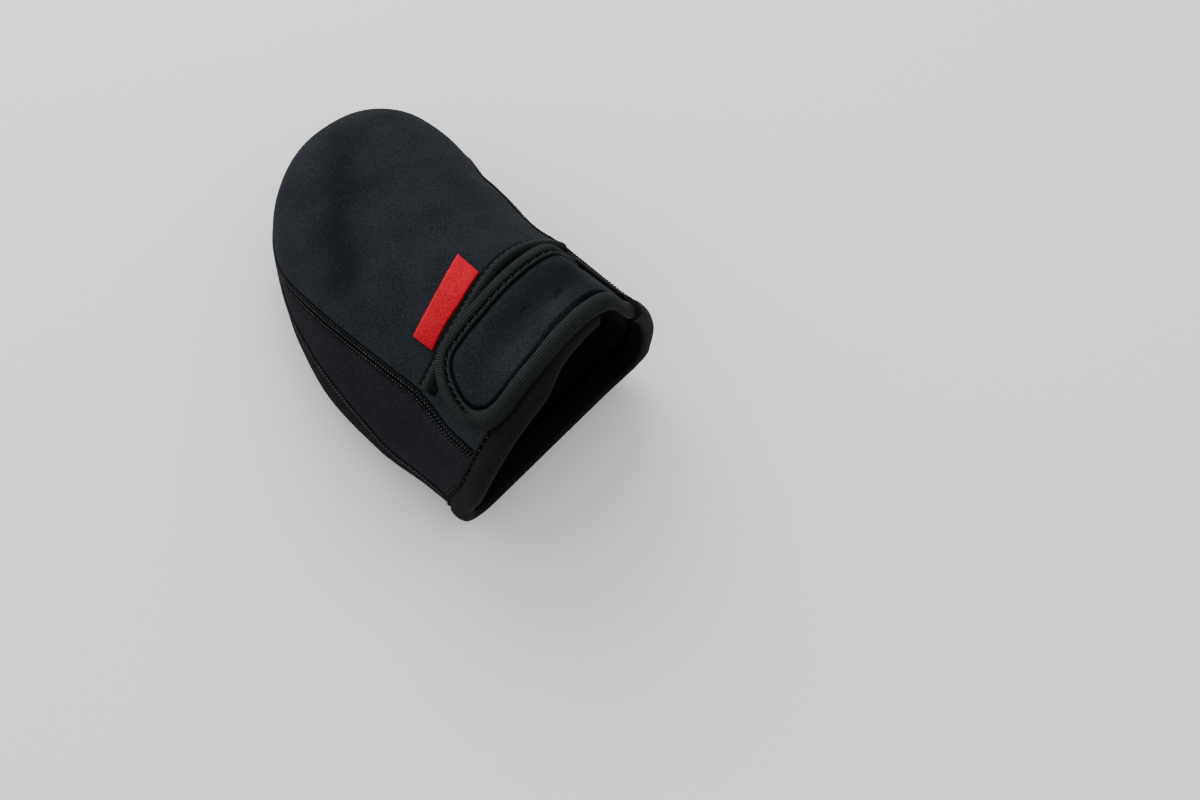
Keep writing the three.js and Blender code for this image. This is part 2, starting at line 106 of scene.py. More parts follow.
class Crease(NamedTuple):
    """A soft trough, or a ridge where its depth is negative, between two places; shade is painted shade on
    its cloth, and a painted highlight where it is negative.
    """

    back_a: float
    turn_a: float
    back_b: float
    turn_b: float
    width: float
    depth: float
    shade: float


class TapeRow(NamedTuple):
    """A row of a tape's outer face, from its sewn edge to the fold.

    reach is the distance from the cloth's edge, rise the height over the cloth, ribs how strongly it is
    ribbed, pull how far the stitches draw it aside, and shade the painted shade in grooves and recesses, a
    painted highlight where negative.
    """

    reach: float
    rise: float
    ribs: float
    pull: float
    shade: float


class StripRow(NamedTuple):
    """A row of a seam's cross-section; shade is the painted shade in its grooves and at its edges."""

    aside: float
    height: float
    shade: float


SECTIONS = (
    Section(along=0.0, outer=0.0, inner=0.0, crown=0.0, girdle=1.0, floor=1.0, edge=0.0),
    Section(along=0.02, outer=0.188, inner=0.156, crown=0.237, girdle=0.88, floor=0.6, edge=0.56),
    Section(along=0.07, outer=0.312, inner=0.27, crown=0.394, girdle=0.84, floor=0.34, edge=0.81),
    Section(along=0.15, outer=0.426, inner=0.341, crown=0.516, girdle=0.8, floor=0.14, edge=0.94),
    Section(along=0.27, outer=0.516, inner=0.369, crown=0.603, girdle=0.76, floor=0.0, edge=1.0),
    Section(along=0.42, outer=0.597, inner=0.364, crown=0.679, girdle=0.72, floor=0.0, edge=1.0),
    Section(along=0.58, outer=0.632, inner=0.356, crown=0.769, girdle=0.72, floor=0.0, edge=1.0),
    Section(along=0.74, outer=0.606, inner=0.381, crown=0.872, girdle=0.76, floor=0.0, edge=1.0),
    Section(along=0.88, outer=0.548, inner=0.394, crown=0.945, girdle=0.8, floor=0.08, edge=1.0),
    Section(along=1.0, outer=0.508, inner=0.414, crown=1.0, girdle=0.84, floor=0.08, edge=1.0),
)

COLLAR_LINE = (
    LineRow(0, 1.02),
    LineRow(20, 1.045),
    LineRow(46, 1.06),
    LineRow(76, 1.045),
    LineRow(96, 1.053),
    LineRow(112, 1.076),
    LineRow(128, 1.07),
    LineRow(149, 1.054),
    LineRow(166, 1.031),
    LineRow(180, 0.995),
    LineRow(225, 0.975),
    LineRow(315, 0.975),
    LineRow(360, 1.02),
)

THROAT_LINE = (
    LineRow(36, 0.752),
    LineRow(54, 0.748),
    LineRow(66, 0.744),
    LineRow(80, 0.741),
    LineRow(88, 0.744),
    LineRow(92, 0.749),
    LineRow(98, 0.762),
    LineRow(107, 0.782),
    LineRow(116, 0.794),
    LineRow(124, 0.806),
    LineRow(132, 0.812),
    LineRow(145, 0.815),
)

UPPER_SEAM = (
    LineRow(180, 0.0),
    LineRow(180, 0.05),
    LineRow(178, 0.12),
    LineRow(174, 0.2),
    LineRow(168, 0.275),
    LineRow(158.5, 0.35),
    LineRow(152, 0.42),
    LineRow(147, 0.5),
    LineRow(142.8, 0.6),
    LineRow(141.3, 0.72),
    LineRow(141, 0.8),
    LineRow(144, 0.87),
    LineRow(147.5, 0.94),
    LineRow(148.5, 1.1),
)

LOWER_SEAM = (
    SeamRow(-0.2, 0.58, 0.66),
    SeamRow(0.02, 0.6, 0.68),
    SeamRow(0.15, 0.78, 0.86),
    SeamRow(0.3, 0.98, 1.04),
    SeamRow(0.42, 1.13, 1.16),
    SeamRow(0.58, 1.24, 1.26),
    SeamRow(0.75, 1.12, 1.2),
    SeamRow(0.86, 0.94, 1.08),
    SeamRow(1.2, 0.9, 1.04),
)

STRAP_LINE = (
    StrapRow(46, 0.95, 0.93),
    StrapRow(54, 0.939, 1.03),
    StrapRow(60, 0.932, 1.045),
    StrapRow(66, 0.928, 1.03),
    StrapRow(78, 0.926, 1.0),
    StrapRow(92, 0.929, 0.983),
    StrapRow(105, 0.936, 0.974),
    StrapRow(118, 0.937, 0.951),
)

# The shade column paints shade into the vamp's troughs and at the bright right horizon, and a painted
# highlight on the toe's rim ridge where negative.
VAMP_CREASES = (
    Crease(back_a=22, turn_a=97, back_b=74, turn_b=129, width=8.5, depth=1.1, shade=0.34),
    Crease(back_a=56, turn_a=117, back_b=76, turn_b=131, width=8, depth=0.1, shade=0.14),
    Crease(back_a=20, turn_a=112, back_b=40, turn_b=143, width=7, depth=-0.6, shade=-0.15),
    Crease(back_a=60, turn_a=26, back_b=66, turn_b=44, width=7, depth=1.0, shade=0.05),
    Crease(back_a=80, turn_a=24, back_b=84, turn_b=40, width=8, depth=-0.4, shade=0.24),
    Crease(back_a=101, turn_a=30, back_b=108, turn_b=50, width=8, depth=0.9, shade=0.16),
    Crease(back_a=86, turn_a=66, back_b=106, turn_b=62, width=14, depth=0.4, shade=0.0),
    Crease(back_a=96, turn_a=168, back_b=124, turn_b=164, width=12, depth=0.5, shade=0.1),
)

# The shade column paints shade along the strap's middle and in its dimples, and a painted highlight on its
# rear where negative.
STRAP_CREASES = (
    Crease(back_a=142, turn_a=72, back_b=141, turn_b=104, width=7, depth=0.9, shade=0.36),
    Crease(back_a=141, turn_a=104, back_b=144, turn_b=116, width=6, depth=0.5, shade=0.14),
    Crease(back_a=140, turn_a=64, back_b=141, turn_b=84, width=10, depth=0.3, shade=0.26),
    Crease(back_a=152, turn_a=86, back_b=153, turn_b=112, width=5, depth=-0.4, shade=-0.35),
    Crease(back_a=146, turn_a=83, back_b=147, turn_b=85, width=1.3, depth=0.7, shade=0.4),
    Crease(back_a=142, turn_a=94.5, back_b=142, turn_b=95.5, width=1.0, depth=0.5, shade=0.3),
)

# shade: painted shade in the sewn groove and the recessed strip, and a painted highlight on the wavy ridge
# where negative.
STRAP_FRONT_TAPE = (
    TapeRow(reach=5.6, rise=0.0, ribs=0, pull=0, shade=1.05),
    TapeRow(reach=5.15, rise=0.0, ribs=0, pull=0, shade=1.05),
    TapeRow(reach=4.95, rise=0.3, ribs=0, pull=0.3, shade=0.5),
    TapeRow(reach=4.75, rise=0.7, ribs=0, pull=0.4, shade=-0.3),
    TapeRow(reach=4.5, rise=0.85, ribs=0, pull=0.7, shade=-0.5),
    TapeRow(reach=4.25, rise=0.65, ribs=0, pull=1, shade=0),
    TapeRow(reach=4.05, rise=0.1, ribs=0, pull=1, shade=1.0),
    TapeRow(reach=3.5, rise=-0.1, ribs=0, pull=0, shade=1.1),
    TapeRow(reach=3.0, rise=0.1, ribs=0, pull=0, shade=1.05),
    TapeRow(reach=2.75, rise=0.75, ribs=0.6, pull=0, shade=0.4),
    TapeRow(reach=2.1, rise=1.15, ribs=1, pull=0, shade=0.05),
    TapeRow(reach=1.3, rise=1.35, ribs=1, pull=0, shade=0),
    TapeRow(reach=0.5, rise=1.2, ribs=1, pull=0, shade=0.1),
    TapeRow(reach=0, rise=0.9, ribs=1, pull=0, shade=0.3),
)

# shade: painted shadow at the sewn edge, and painted shade on the outer roll where it turns away from the
# light.
STRAP_REAR_TAPE = (
    TapeRow(reach=5.6, rise=0.0, ribs=0, pull=0, shade=1.05),
    TapeRow(reach=5.2, rise=0.0, ribs=0, pull=0, shade=1.05),
    TapeRow(reach=4.95, rise=0.3, ribs=0.3, pull=0, shade=0.7),
    TapeRow(reach=4.75, rise=0.75, ribs=1, pull=0, shade=0),
    TapeRow(reach=4.5, rise=1.0, ribs=1, pull=0, shade=-0.15),
    TapeRow(reach=4.1, rise=1.15, ribs=1, pull=0, shade=-0.15),
    TapeRow(reach=3.7, rise=1.25, ribs=1, pull=0, shade=-0.05),
    TapeRow(reach=3.2, rise=1.3, ribs=0.9, pull=0, shade=0.05),
    TapeRow(reach=2.7, rise=1.35, ribs=0.8, pull=0, shade=0.15),
    TapeRow(reach=2.2, rise=1.35, ribs=0.7, pull=0, shade=0.25),
    TapeRow(reach=1.6, rise=1.3, ribs=0.6, pull=0, shade=0.38),
    TapeRow(reach=1.1, rise=1.15, ribs=0.5, pull=0, shade=0.5),
    TapeRow(reach=0.5, rise=0.95, ribs=0.4, pull=0, shade=0.6),
    TapeRow(reach=0, rise=0.75, ribs=0.3, pull=0, shade=0.6),
)

# shade: painted shade on the recessed strip in front of the roll and towards the fold under the strap, and a
# painted highlight where negative.
THROAT_TAPE = (
    TapeRow(reach=4.6, rise=0.0, ribs=0, pull=0, shade=1.05),
    TapeRow(reach=4.4, rise=0.35, ribs=0, pull=0, shade=1.0),
    TapeRow(reach=4.0, rise=0.42, ribs=0, pull=0, shade=0.95),
    TapeRow(reach=3.3, rise=0.38, ribs=0, pull=0.3, shade=1.0),
    TapeRow(reach=2.9, rise=0.36, ribs=0.2, pull=1, shade=1.0),
    TapeRow(reach=2.7, rise=0.75, ribs=0.8, pull=1, shade=0.2),
    TapeRow(reach=2.3, rise=0.95, ribs=1, pull=0.8, shade=-0.15),
    TapeRow(reach=1.8, rise=1.05, ribs=1, pull=0.3, shade=-0.1),
    TapeRow(reach=1.3, rise=1.1, ribs=1, pull=0, shade=0),
    TapeRow(reach=0.8, rise=1.1, ribs=1, pull=0, shade=0.2),
    TapeRow(reach=0.4, rise=1.0, ribs=1, pull=0, shade=0.4),
    TapeRow(reach=0, rise=0.8, ribs=1, pull=0, shade=0.7),
)

# shade: painted shade in the groove, and a painted highlight on the ridge where negative.
COLLAR_TAPE = (
    TapeRow(reach=8.5, rise=0.02, ribs=0, pull=0, shade=0.7),
    TapeRow(reach=8.35, rise=0.4, ribs=0, pull=0.4, shade=0.2),
    TapeRow(reach=8.05, rise=0.65, ribs=0, pull=0.4, shade=-0.4),
    TapeRow(reach=7.7, rise=0.6, ribs=0, pull=0.4, shade=-0.1),
    TapeRow(reach=7.45, rise=0.2, ribs=0, pull=0.3, shade=0.8),
    TapeRow(reach=7.0, rise=0.05, ribs=0, pull=0, shade=1),
    TapeRow(reach=6.6, rise=0.15, ribs=0, pull=0, shade=0.9),
    TapeRow(reach=6.35, rise=0.7, ribs=0, pull=0, shade=0.3),
    TapeRow(reach=5.7, rise=1.3, ribs=0, pull=0, shade=0.05),
    TapeRow(reach=4.6, rise=1.7, ribs=0, pull=0, shade=0),
    TapeRow(reach=3.2, rise=1.9, ribs=0, pull=0, shade=0),
    TapeRow(reach=1.8, rise=1.85, ribs=0, pull=0, shade=0),
    TapeRow(reach=0.8, rise=1.6, ribs=0, pull=0, shade=0.05),
    TapeRow(reach=0, rise=1.3, ribs=0, pull=0, shade=0.1),
)

# shade: painted shade in the middle valley and at the edges where the band dips into the cloth.
UPPER_STRIP = (
    StripRow(aside=-2.75, height=-0.35, shade=0.6),
    StripRow(aside=-2.45, height=0.05, shade=0.8),
    StripRow(aside=-1.9, height=0.25, shade=0.2),
    StripRow(aside=-1.3, height=0.32, shade=0.1),
    StripRow(aside=-0.75, height=0.22, shade=0.3),
    StripRow(aside=-0.45, height=0.12, shade=1.0),
    StripRow(aside=0.45, height=0.12, shade=1.0),
    StripRow(aside=0.75, height=0.22, shade=0.3),
    StripRow(aside=1.3, height=0.32, shade=0.1),
    StripRow(aside=1.9, height=0.25, shade=0.2),
    StripRow(aside=2.45, height=0.05, shade=0.8),
    StripRow(aside=2.75, height=-0.35, shade=0.6),
)

# shade: painted shade at the edges where the band dips into the cloth.
LOWER_STRIP = (
    StripRow(aside=-1.8, height=-0.35, shade=0.6),
    StripRow(aside=-1.5, height=0.05, shade=0.8),
    StripRow(aside=-0.8, height=0.3, shade=0.1),
    StripRow(aside=0.0, height=0.35, shade=0.1),
    StripRow(aside=0.8, height=0.3, shade=0.1),
    StripRow(aside=1.5, height=0.05, shade=0.8),
    StripRow(aside=1.8, height=-0.35, shade=0.6),
)


# shade: painted shade at the edges where the band dips into the cloth.
ROOT_STRIP = (
    StripRow(aside=-2.9, height=-0.4, shade=0.6),
    StripRow(aside=-2.5, height=0.1, shade=0.8),
    StripRow(aside=-1.2, height=0.36, shade=0.1),
    StripRow(aside=0.0, height=0.4, shade=0.1),
    StripRow(aside=1.2, height=0.36, shade=0.1),
    StripRow(aside=2.5, height=0.1, shade=0.8),
    StripRow(aside=2.9, height=-0.4, shade=0.6),
)


def curve_through(rows: Sequence[NamedTuple], source: str, target: str) -> Curve:
    """A smooth curve through a table's rows that never overshoots between two of them.

    Args:
        rows: The table.
        source: The column that the curve is read by.
        target: The column that it gives.

    Returns:
        A function from values of source to values of target.
    """
    xs = np.array([getattr(row, source) for row in rows], float)
    ys = np.array([getattr(row, target) for row in rows], float)
    slopes = np.diff(ys) / np.diff(xs)
    before, after = slopes[:-1], slopes[1:]
    total = np.where(before * after > 0, before + after, 1.0)
    inner = np.where(before * after > 0, 2 * before * after / total, 0.0)
    tangents = np.concatenate([slopes[:1], inner, slopes[-1:]])

    def value(x: Array) -> Array:
        """Reads the curve at x, which is held inside the table."""
        inside = np.clip(x, xs[0], xs[-1])
        i = np.clip(np.searchsorted(xs, inside, side="right") - 1, 0, len(xs) - 2)
        width = xs[i + 1] - xs[i]
        s = (inside - xs[i]) / width
        rest = 1 - s
        return (
            ys[i] * (1 + 2 * s) * rest**2
            + width * tangents[i] * s * rest**2
            + ys[i + 1] * s**2 * (3 - 2 * s)
            - width * tangents[i + 1] * s**2 * rest
        )

    return value


def smoothstep(x: Array, low: float, high: float) -> Array:
    """Rises smoothly from 0 at low to 1 at high."""
    s = np.clip((x - low) / (high - low), 0, 1)
    return s * s * (3 - 2 * s)


def unit(vectors: Array) -> Array:
    """Vectors along the last axis, brought to length one."""
    return vectors / np.maximum(np.linalg.norm(vectors, axis=-1, keepdims=True), 1e-12)


def creased(creases: Sequence[Crease], back: Array, turn: Array, column: str) -> Array:
    """Adds up one column of a set of creases at each place.

    Args:
        creases: The creases.
        back: Distances behind the toe tip.
        turn: Angles round the section.
        column: depth or shade.

    Returns:
        The sum, falling off softly beside each crease.
    """
    total = np.zeros(np.broadcast(back, turn).shape)
    for crease in creases:
        start = np.array([crease.back_a, crease.turn_a * MM_PER_TURN])
        run = np.array([crease.back_b, crease.turn_b * MM_PER_TURN]) - start
        away_back, away_turn = back - start[0], turn * MM_PER_TURN - start[1]
        share = np.clip((away_back * run[0] + away_turn * run[1]) / (run @ run), 0, 1)
        square = (away_back - share * run[0]) ** 2 + (away_turn - share * run[1]) ** 2
        total = total + getattr(crease, column) * np.exp(-square / crease.width**2)
    return total


class WallFrame(NamedTuple):
    """Points of the wall with their two tangents and outward normals."""

    point: Array
    along: Array
    around: Array
    normal: Array


@dataclass
class Wall:
    """The outer face of the cover, from the sizes and sections of the last."""

    spine_length: float = 154.0
    ball_width: float = 98.3
    instep_rise: float = 67.0
    tip_height: float = 25.0
    edge_round: float = 16.0
    crown_fullness: float = 2.2
    collar_slant: float = 0.19
    thickness: float = 2.5
    gap: float = 0.3
    origin: tuple[float, float, float] = (10.061, 85.954, 0.0)
    creases: tuple[Crease, ...] = VAMP_CREASES
    curves: dict[str, Curve] = field(default_factory=dict)

    def __post_init__(self) -> None:
        """Prepares the curves through the tables."""
        staged = [StagedSection(float(self.stage(np.array(row.along))), *row[1:]) for row in SECTIONS]
        for name in Section._fields[1:]:
            self.curves[name] = curve_through(staged, "stage", name)
        self.collar = curve_through(COLLAR_LINE, "turn", "along")
        self.throat = curve_through(THROAT_LINE, "turn", "along")
        self.seam_turn = curve_through(UPPER_SEAM, "along", "turn")
        self.low_outer = curve_through(LOWER_SEAM, "along", "outer")
        self.low_inner = curve_through(LOWER_SEAM, "along", "inner")

    @staticmethod
    def stage(along: Array) -> Array:
        """The stage by which sections are spaced, which crowds them at the blunt toe tip."""
        return np.arccos(1 - np.clip(along, 0, 1)) / (math.pi / 2)

    def point(self, back: Array, turn: Array) -> Array:
        """Points of the smooth wall.

        Args:
            back: Distances behind the toe tip.
            turn: Angles round the section.

        Returns:
            An array of points in millimetres, in the part's frame.
        """
        back, turn = np.broadcast_arrays(np.asarray(back, float), np.asarray(turn, float))
        stage = self.stage(back / self.spine_length)
        read = {name: curve(stage) for name, curve in self.curves.items()}
        outer, inner = read["outer"] * self.ball_width, read["inner"] * self.ball_width
        girdle, edge = read["girdle"] * self.tip_height, read["edge"] * self.edge_round
        drop = girdle - read["floor"] * self.tip_height
        wrapped = np.mod(turn, 360)
        angle = np.radians(wrapped)
        power = 2 / self.crown_fullness
        across = np.sign(np.cos(angle)) * np.abs(np.cos(angle)) ** power
        arch_x = across * np.where(across > 0, inner, outer)
        arch_z = girdle + read["crown"] * self.instep_rise * np.abs(np.sin(angle)) ** power
        share = (wrapped - 180) / 180
        corner = np.minimum(share, 1 - share) / 0.25
        bend = np.clip(corner, 0, 1) * math.pi / 2
        inset = edge * (1 - np.cos(bend))
        corner_x = np.where(share < 0.5, -outer + inset, inner - inset)
        flat_x = -outer + edge + (share - 0.25) / 0.5 * (outer + inner - 2 * edge)
        floor_x = np.where(corner >= 1, flat_x, corner_x)
        floor_z = girdle - drop * np.sin(bend)
        x = np.where(wrapped <= 180, arch_x, floor_x)
        z = np.where(wrapped <= 180, arch_z, floor_z)
        slant = self.collar_slant * x * np.minimum(back / self.spine_length, 1) ** 2
        return np.stack([x, slant - back, z], axis=-1) + np.array(self.origin)

    def frame(self, back: Array, turn: Array) -> WallFrame:
        """Points with tangents by back and by turn, and outward normals."""
        step_back, step_turn = 0.4, 0.5
        back, turn = np.broadcast_arrays(np.asarray(back, float), np.asarray(turn, float))
        start = np.maximum(back, step_back * 1.5)
        along = (self.point(start + step_back, turn) - self.point(start - step_back, turn)) / (2 * step_back)
        around = (self.point(start, turn + step_turn) - self.point(start, turn - step_turn)) / (2 * step_turn)
        return WallFrame(self.point(back, turn), along, around, unit(np.cross(around, along)))

    def relief(self, back: Array, turn: Array) -> Array:
        """Height of the soft troughs and ridges at each place."""
        return -creased(self.creases, back, turn, "depth")

    def raised(self, back: Array, turn: Array, height: Array) -> Array:
        """Points at a height above the wall and its relief."""
        frame = self.frame(back, turn)
        lift = np.asarray(height, float) + self.relief(back, turn)
        return frame.point + frame.normal * np.broadcast_to(lift, frame.point.shape[:-1])[..., None]

    def collar_edge(self, turn: Array) -> Array:
        """How far back the cover ends at each turn."""
        return self.collar(np.mod(turn, 360)) * self.spine_length


class StagedSection(NamedTuple):
    """A section with its stage in place of its share of the length."""

    stage: float
    outer: float
    inner: float
    crown: float
    girdle: float
    floor: float
    edge: float


@dataclass
class WallPath:
    """A line of places on the wall, with one row a point."""

    wall: Wall
    back: Array
    turn: Array

    def points(self, height: float = 0.0) -> Array:
        """The path's points at a height above the wall."""
        return self.wall.raised(self.back, self.turn, height)

    def length(self) -> float:
        """The path's length in millimetres."""
        return float(np.linalg.norm(np.diff(self.points(), axis=0), axis=1).sum())

    def spaced(self, pitch: float) -> "WallPath":
        """The same path with its places an even distance apart, as near to pitch as fits."""
        steps = np.linalg.norm(np.diff(self.points(), axis=0), axis=1)
        run = np.concatenate([[0], np.cumsum(steps)])
        count = max(int(round(run[-1] / pitch)), 2)
        at = np.linspace(0, run[-1], count + 1)
        return WallPath(self.wall, np.interp(at, run, self.back), np.interp(at, run, self.turn))

    def across(self, reach: Array) -> tuple[Array, Array]:
        """Places at reaches across the path.

        Args:
            reach: Distances across, with a row for each point of the path or one row for all.

        Returns:
            The places' back and turn, with a row for each point of the path.
        """
        frame = self.wall.frame(self.back, self.turn)
        heading = (
            frame.along * np.gradient(self.back)[:, None] + frame.around * np.gradient(self.turn)[:, None]
        )
        side = unit(np.cross(heading, frame.normal))
        aa, bb = (frame.along**2).sum(1), (frame.around**2).sum(1)
        ab = (frame.along * frame.around).sum(1)
        sa, sb = (side * frame.along).sum(1), (side * frame.around).sum(1)
        size = aa * bb - ab * ab
        by_back, by_turn = (sa * bb - sb * ab) / size, (sb * aa - sa * ab) / size
        return self.back[:, None] + by_back[:, None] * reach, self.turn[:, None] + by_turn[:, None] * reach


def merged(points: Array, faces: list[tuple[int, ...]], slots: list[int]) -> tuple:
    """Joins points that coincide and drops faces that have shrunk to nothing.

    Args:
        points: Vertices.
        faces: Faces, as indices of vertices.
        slots: The material slot of each face.

    Returns:
        The indices of the points kept, the faces and the slots.
    """
    keys = np.round(points * 1e4).astype(np.int64)
    _, first, index = np.unique(keys, axis=0, return_index=True, return_inverse=True)
    index = index.reshape(-1)
    kept_faces, kept_slots = [], []
    for face, slot in zip(faces, slots):
        corners = [int(index[corner]) for corner in face]
        ring = [corner for i, corner in enumerate(corners) if corner != corners[i - 1]]
        if len(ring) >= 3:
            kept_faces.append(tuple(ring))
            kept_slots.append(slot)
    return first, kept_faces, kept_slots


def signed_volume(points: Array, faces: list[tuple[int, ...]]) -> float:
    """Six times the volume inside closed faces, negative where they point inwards."""
    fans = [(f[0], f[i], f[i + 1]) for f in faces for i in range(1, len(f) - 1)]
    a, b, c = (points[np.array(fans)[:, k]] for k in range(3))
    return float((a * np.cross(b, c)).sum())


def set_shade(mesh: bpy.types.Mesh, shade: Array) -> None:
    """Stores the painted shade at each vertex: how much darker the cloth is coloured, or lighter as a painted
    highlight where negative.
    """
    attribute = mesh.attributes.new(SHADE, "FLOAT", "POINT")
    attribute.data.foreach_set("value", np.asarray(shade, np.float32))


def make_object(
    name: str,
    points: Array,
    faces: list[tuple[int, ...]],
    slots: list[int] | None = None,
    shade: Array | None = None,
) -> bpy.types.Object:
    """A smooth-shaded closed object from points in millimetres.

    Args:
        name: The object's name.
        points: Its vertices.
        faces: Its faces, as indices of vertices.
        slots: The material slot of each face.
        shade: The painted shade at each vertex, a painted highlight where negative.

    Returns:
        The new object, at the origin, with its faces turned outwards.
    """
    points = np.asarray(points, float)
    kept, faces, slots = merged(points, faces, slots or [0] * len(faces))
    if signed_volume(points[kept], faces) < 0:
        faces = [face[::-1] for face in faces]
    mesh = bpy.data.meshes.new(name)
    mesh.from_pydata((points[kept] * TO_METRES).tolist(), [], faces)
    mesh.polygons.foreach_set("material_index", slots)
    mesh.polygons.foreach_set("use_smooth", [True] * len(faces))
    if shade is not None:
        set_shade(mesh, np.asarray(shade, float).ravel()[kept])
    mesh.update()
    thing = bpy.data.objects.new(name, mesh)
    bpy.context.collection.objects.link(thing)
    return thing


def skin(
    name: str,
    loops: Array,
    slots: Sequence[int] | None = None,
    shade: Array | None = None,
    capped: bool = True,
) -> bpy.types.Object:
    """A closed skin through loops of points.

    Args:
        name: The object's name.
        loops: An array of loops, each of as many points.
        slots: The material slot of each strip between two loops.
        shade: The painted shade at each point, a painted highlight where negative.
        capped: Whether each end is closed on the line half way between the loop's two runs.

    Returns:
        The new object.
    """
    strips = [0] * (len(loops) - 1) if slots is None else list(slots)
    if capped:
        first = (loops[0] + loops[0][::-1]) / 2
        last = (loops[-1] + loops[-1][::-1]) / 2
        loops = np.concatenate([first[None], loops, last[None]])
        strips = [strips[0], *strips, strips[-1]]
        if shade is not None:
            shade = np.concatenate([shade[:1], shade, shade[-1:]])
    size = loops.shape[1]
    faces, face_slots = [], []
    for row, slot in enumerate(strips):
        for i in range(size):
            a, b = row * size + i, row * size + (i + 1) % size
            faces.append((a, b, b + size, a + size))
            face_slots.append(slot)
    return make_object(name, loops.reshape(-1, 3), faces, face_slots, shade)


def carve(base: bpy.types.Object, tool: bpy.types.Object, operation: str, keep_tool: bool = False) -> None:
    """Cuts a closed object with another and keeps the plain result.

    Args:
        base: The object that is cut, whose mesh is replaced.
        tool: The object that cuts.
        operation: DIFFERENCE or INTERSECT.
        keep_tool: Whether the tool is kept for another cut.
    """
    modifier = base.modifiers.new("carve", "BOOLEAN")
    modifier.solver = "MANIFOLD"
    modifier.operation = operation
    modifier.object = tool
    bpy.context.view_layer.update()
    result = bpy.data.meshes.new_from_object(base.evaluated_get(bpy.context.evaluated_depsgraph_get()))
    base.modifiers.remove(modifier)
    base.data = result
    if not keep_tool:
        bpy.data.objects.remove(tool)


def soften(thing: bpy.types.Object, degrees: float = 35.0) -> None:
    """Shades an object smooth, apart from edges sharper than an angle."""
    thing.data.polygons.foreach_set("use_smooth", [True] * len(thing.data.polygons))
    thing.data.set_sharp_from_angle(angle=math.radians(degrees))
    thing.data.update()


class ColorMix:
    """A colour mix node whose sockets are read by name."""

    def __init__(self, tree: bpy.types.NodeTree) -> None:
        """Adds the node to a tree."""
        node = tree.nodes.new("ShaderNodeMix")
        node.data_type = "RGBA"
        self.inputs = {"Factor": node.inputs[0], "A": node.inputs[6], "B": node.inputs[7]}
        self.outputs = {"Result": node.outputs[2]}


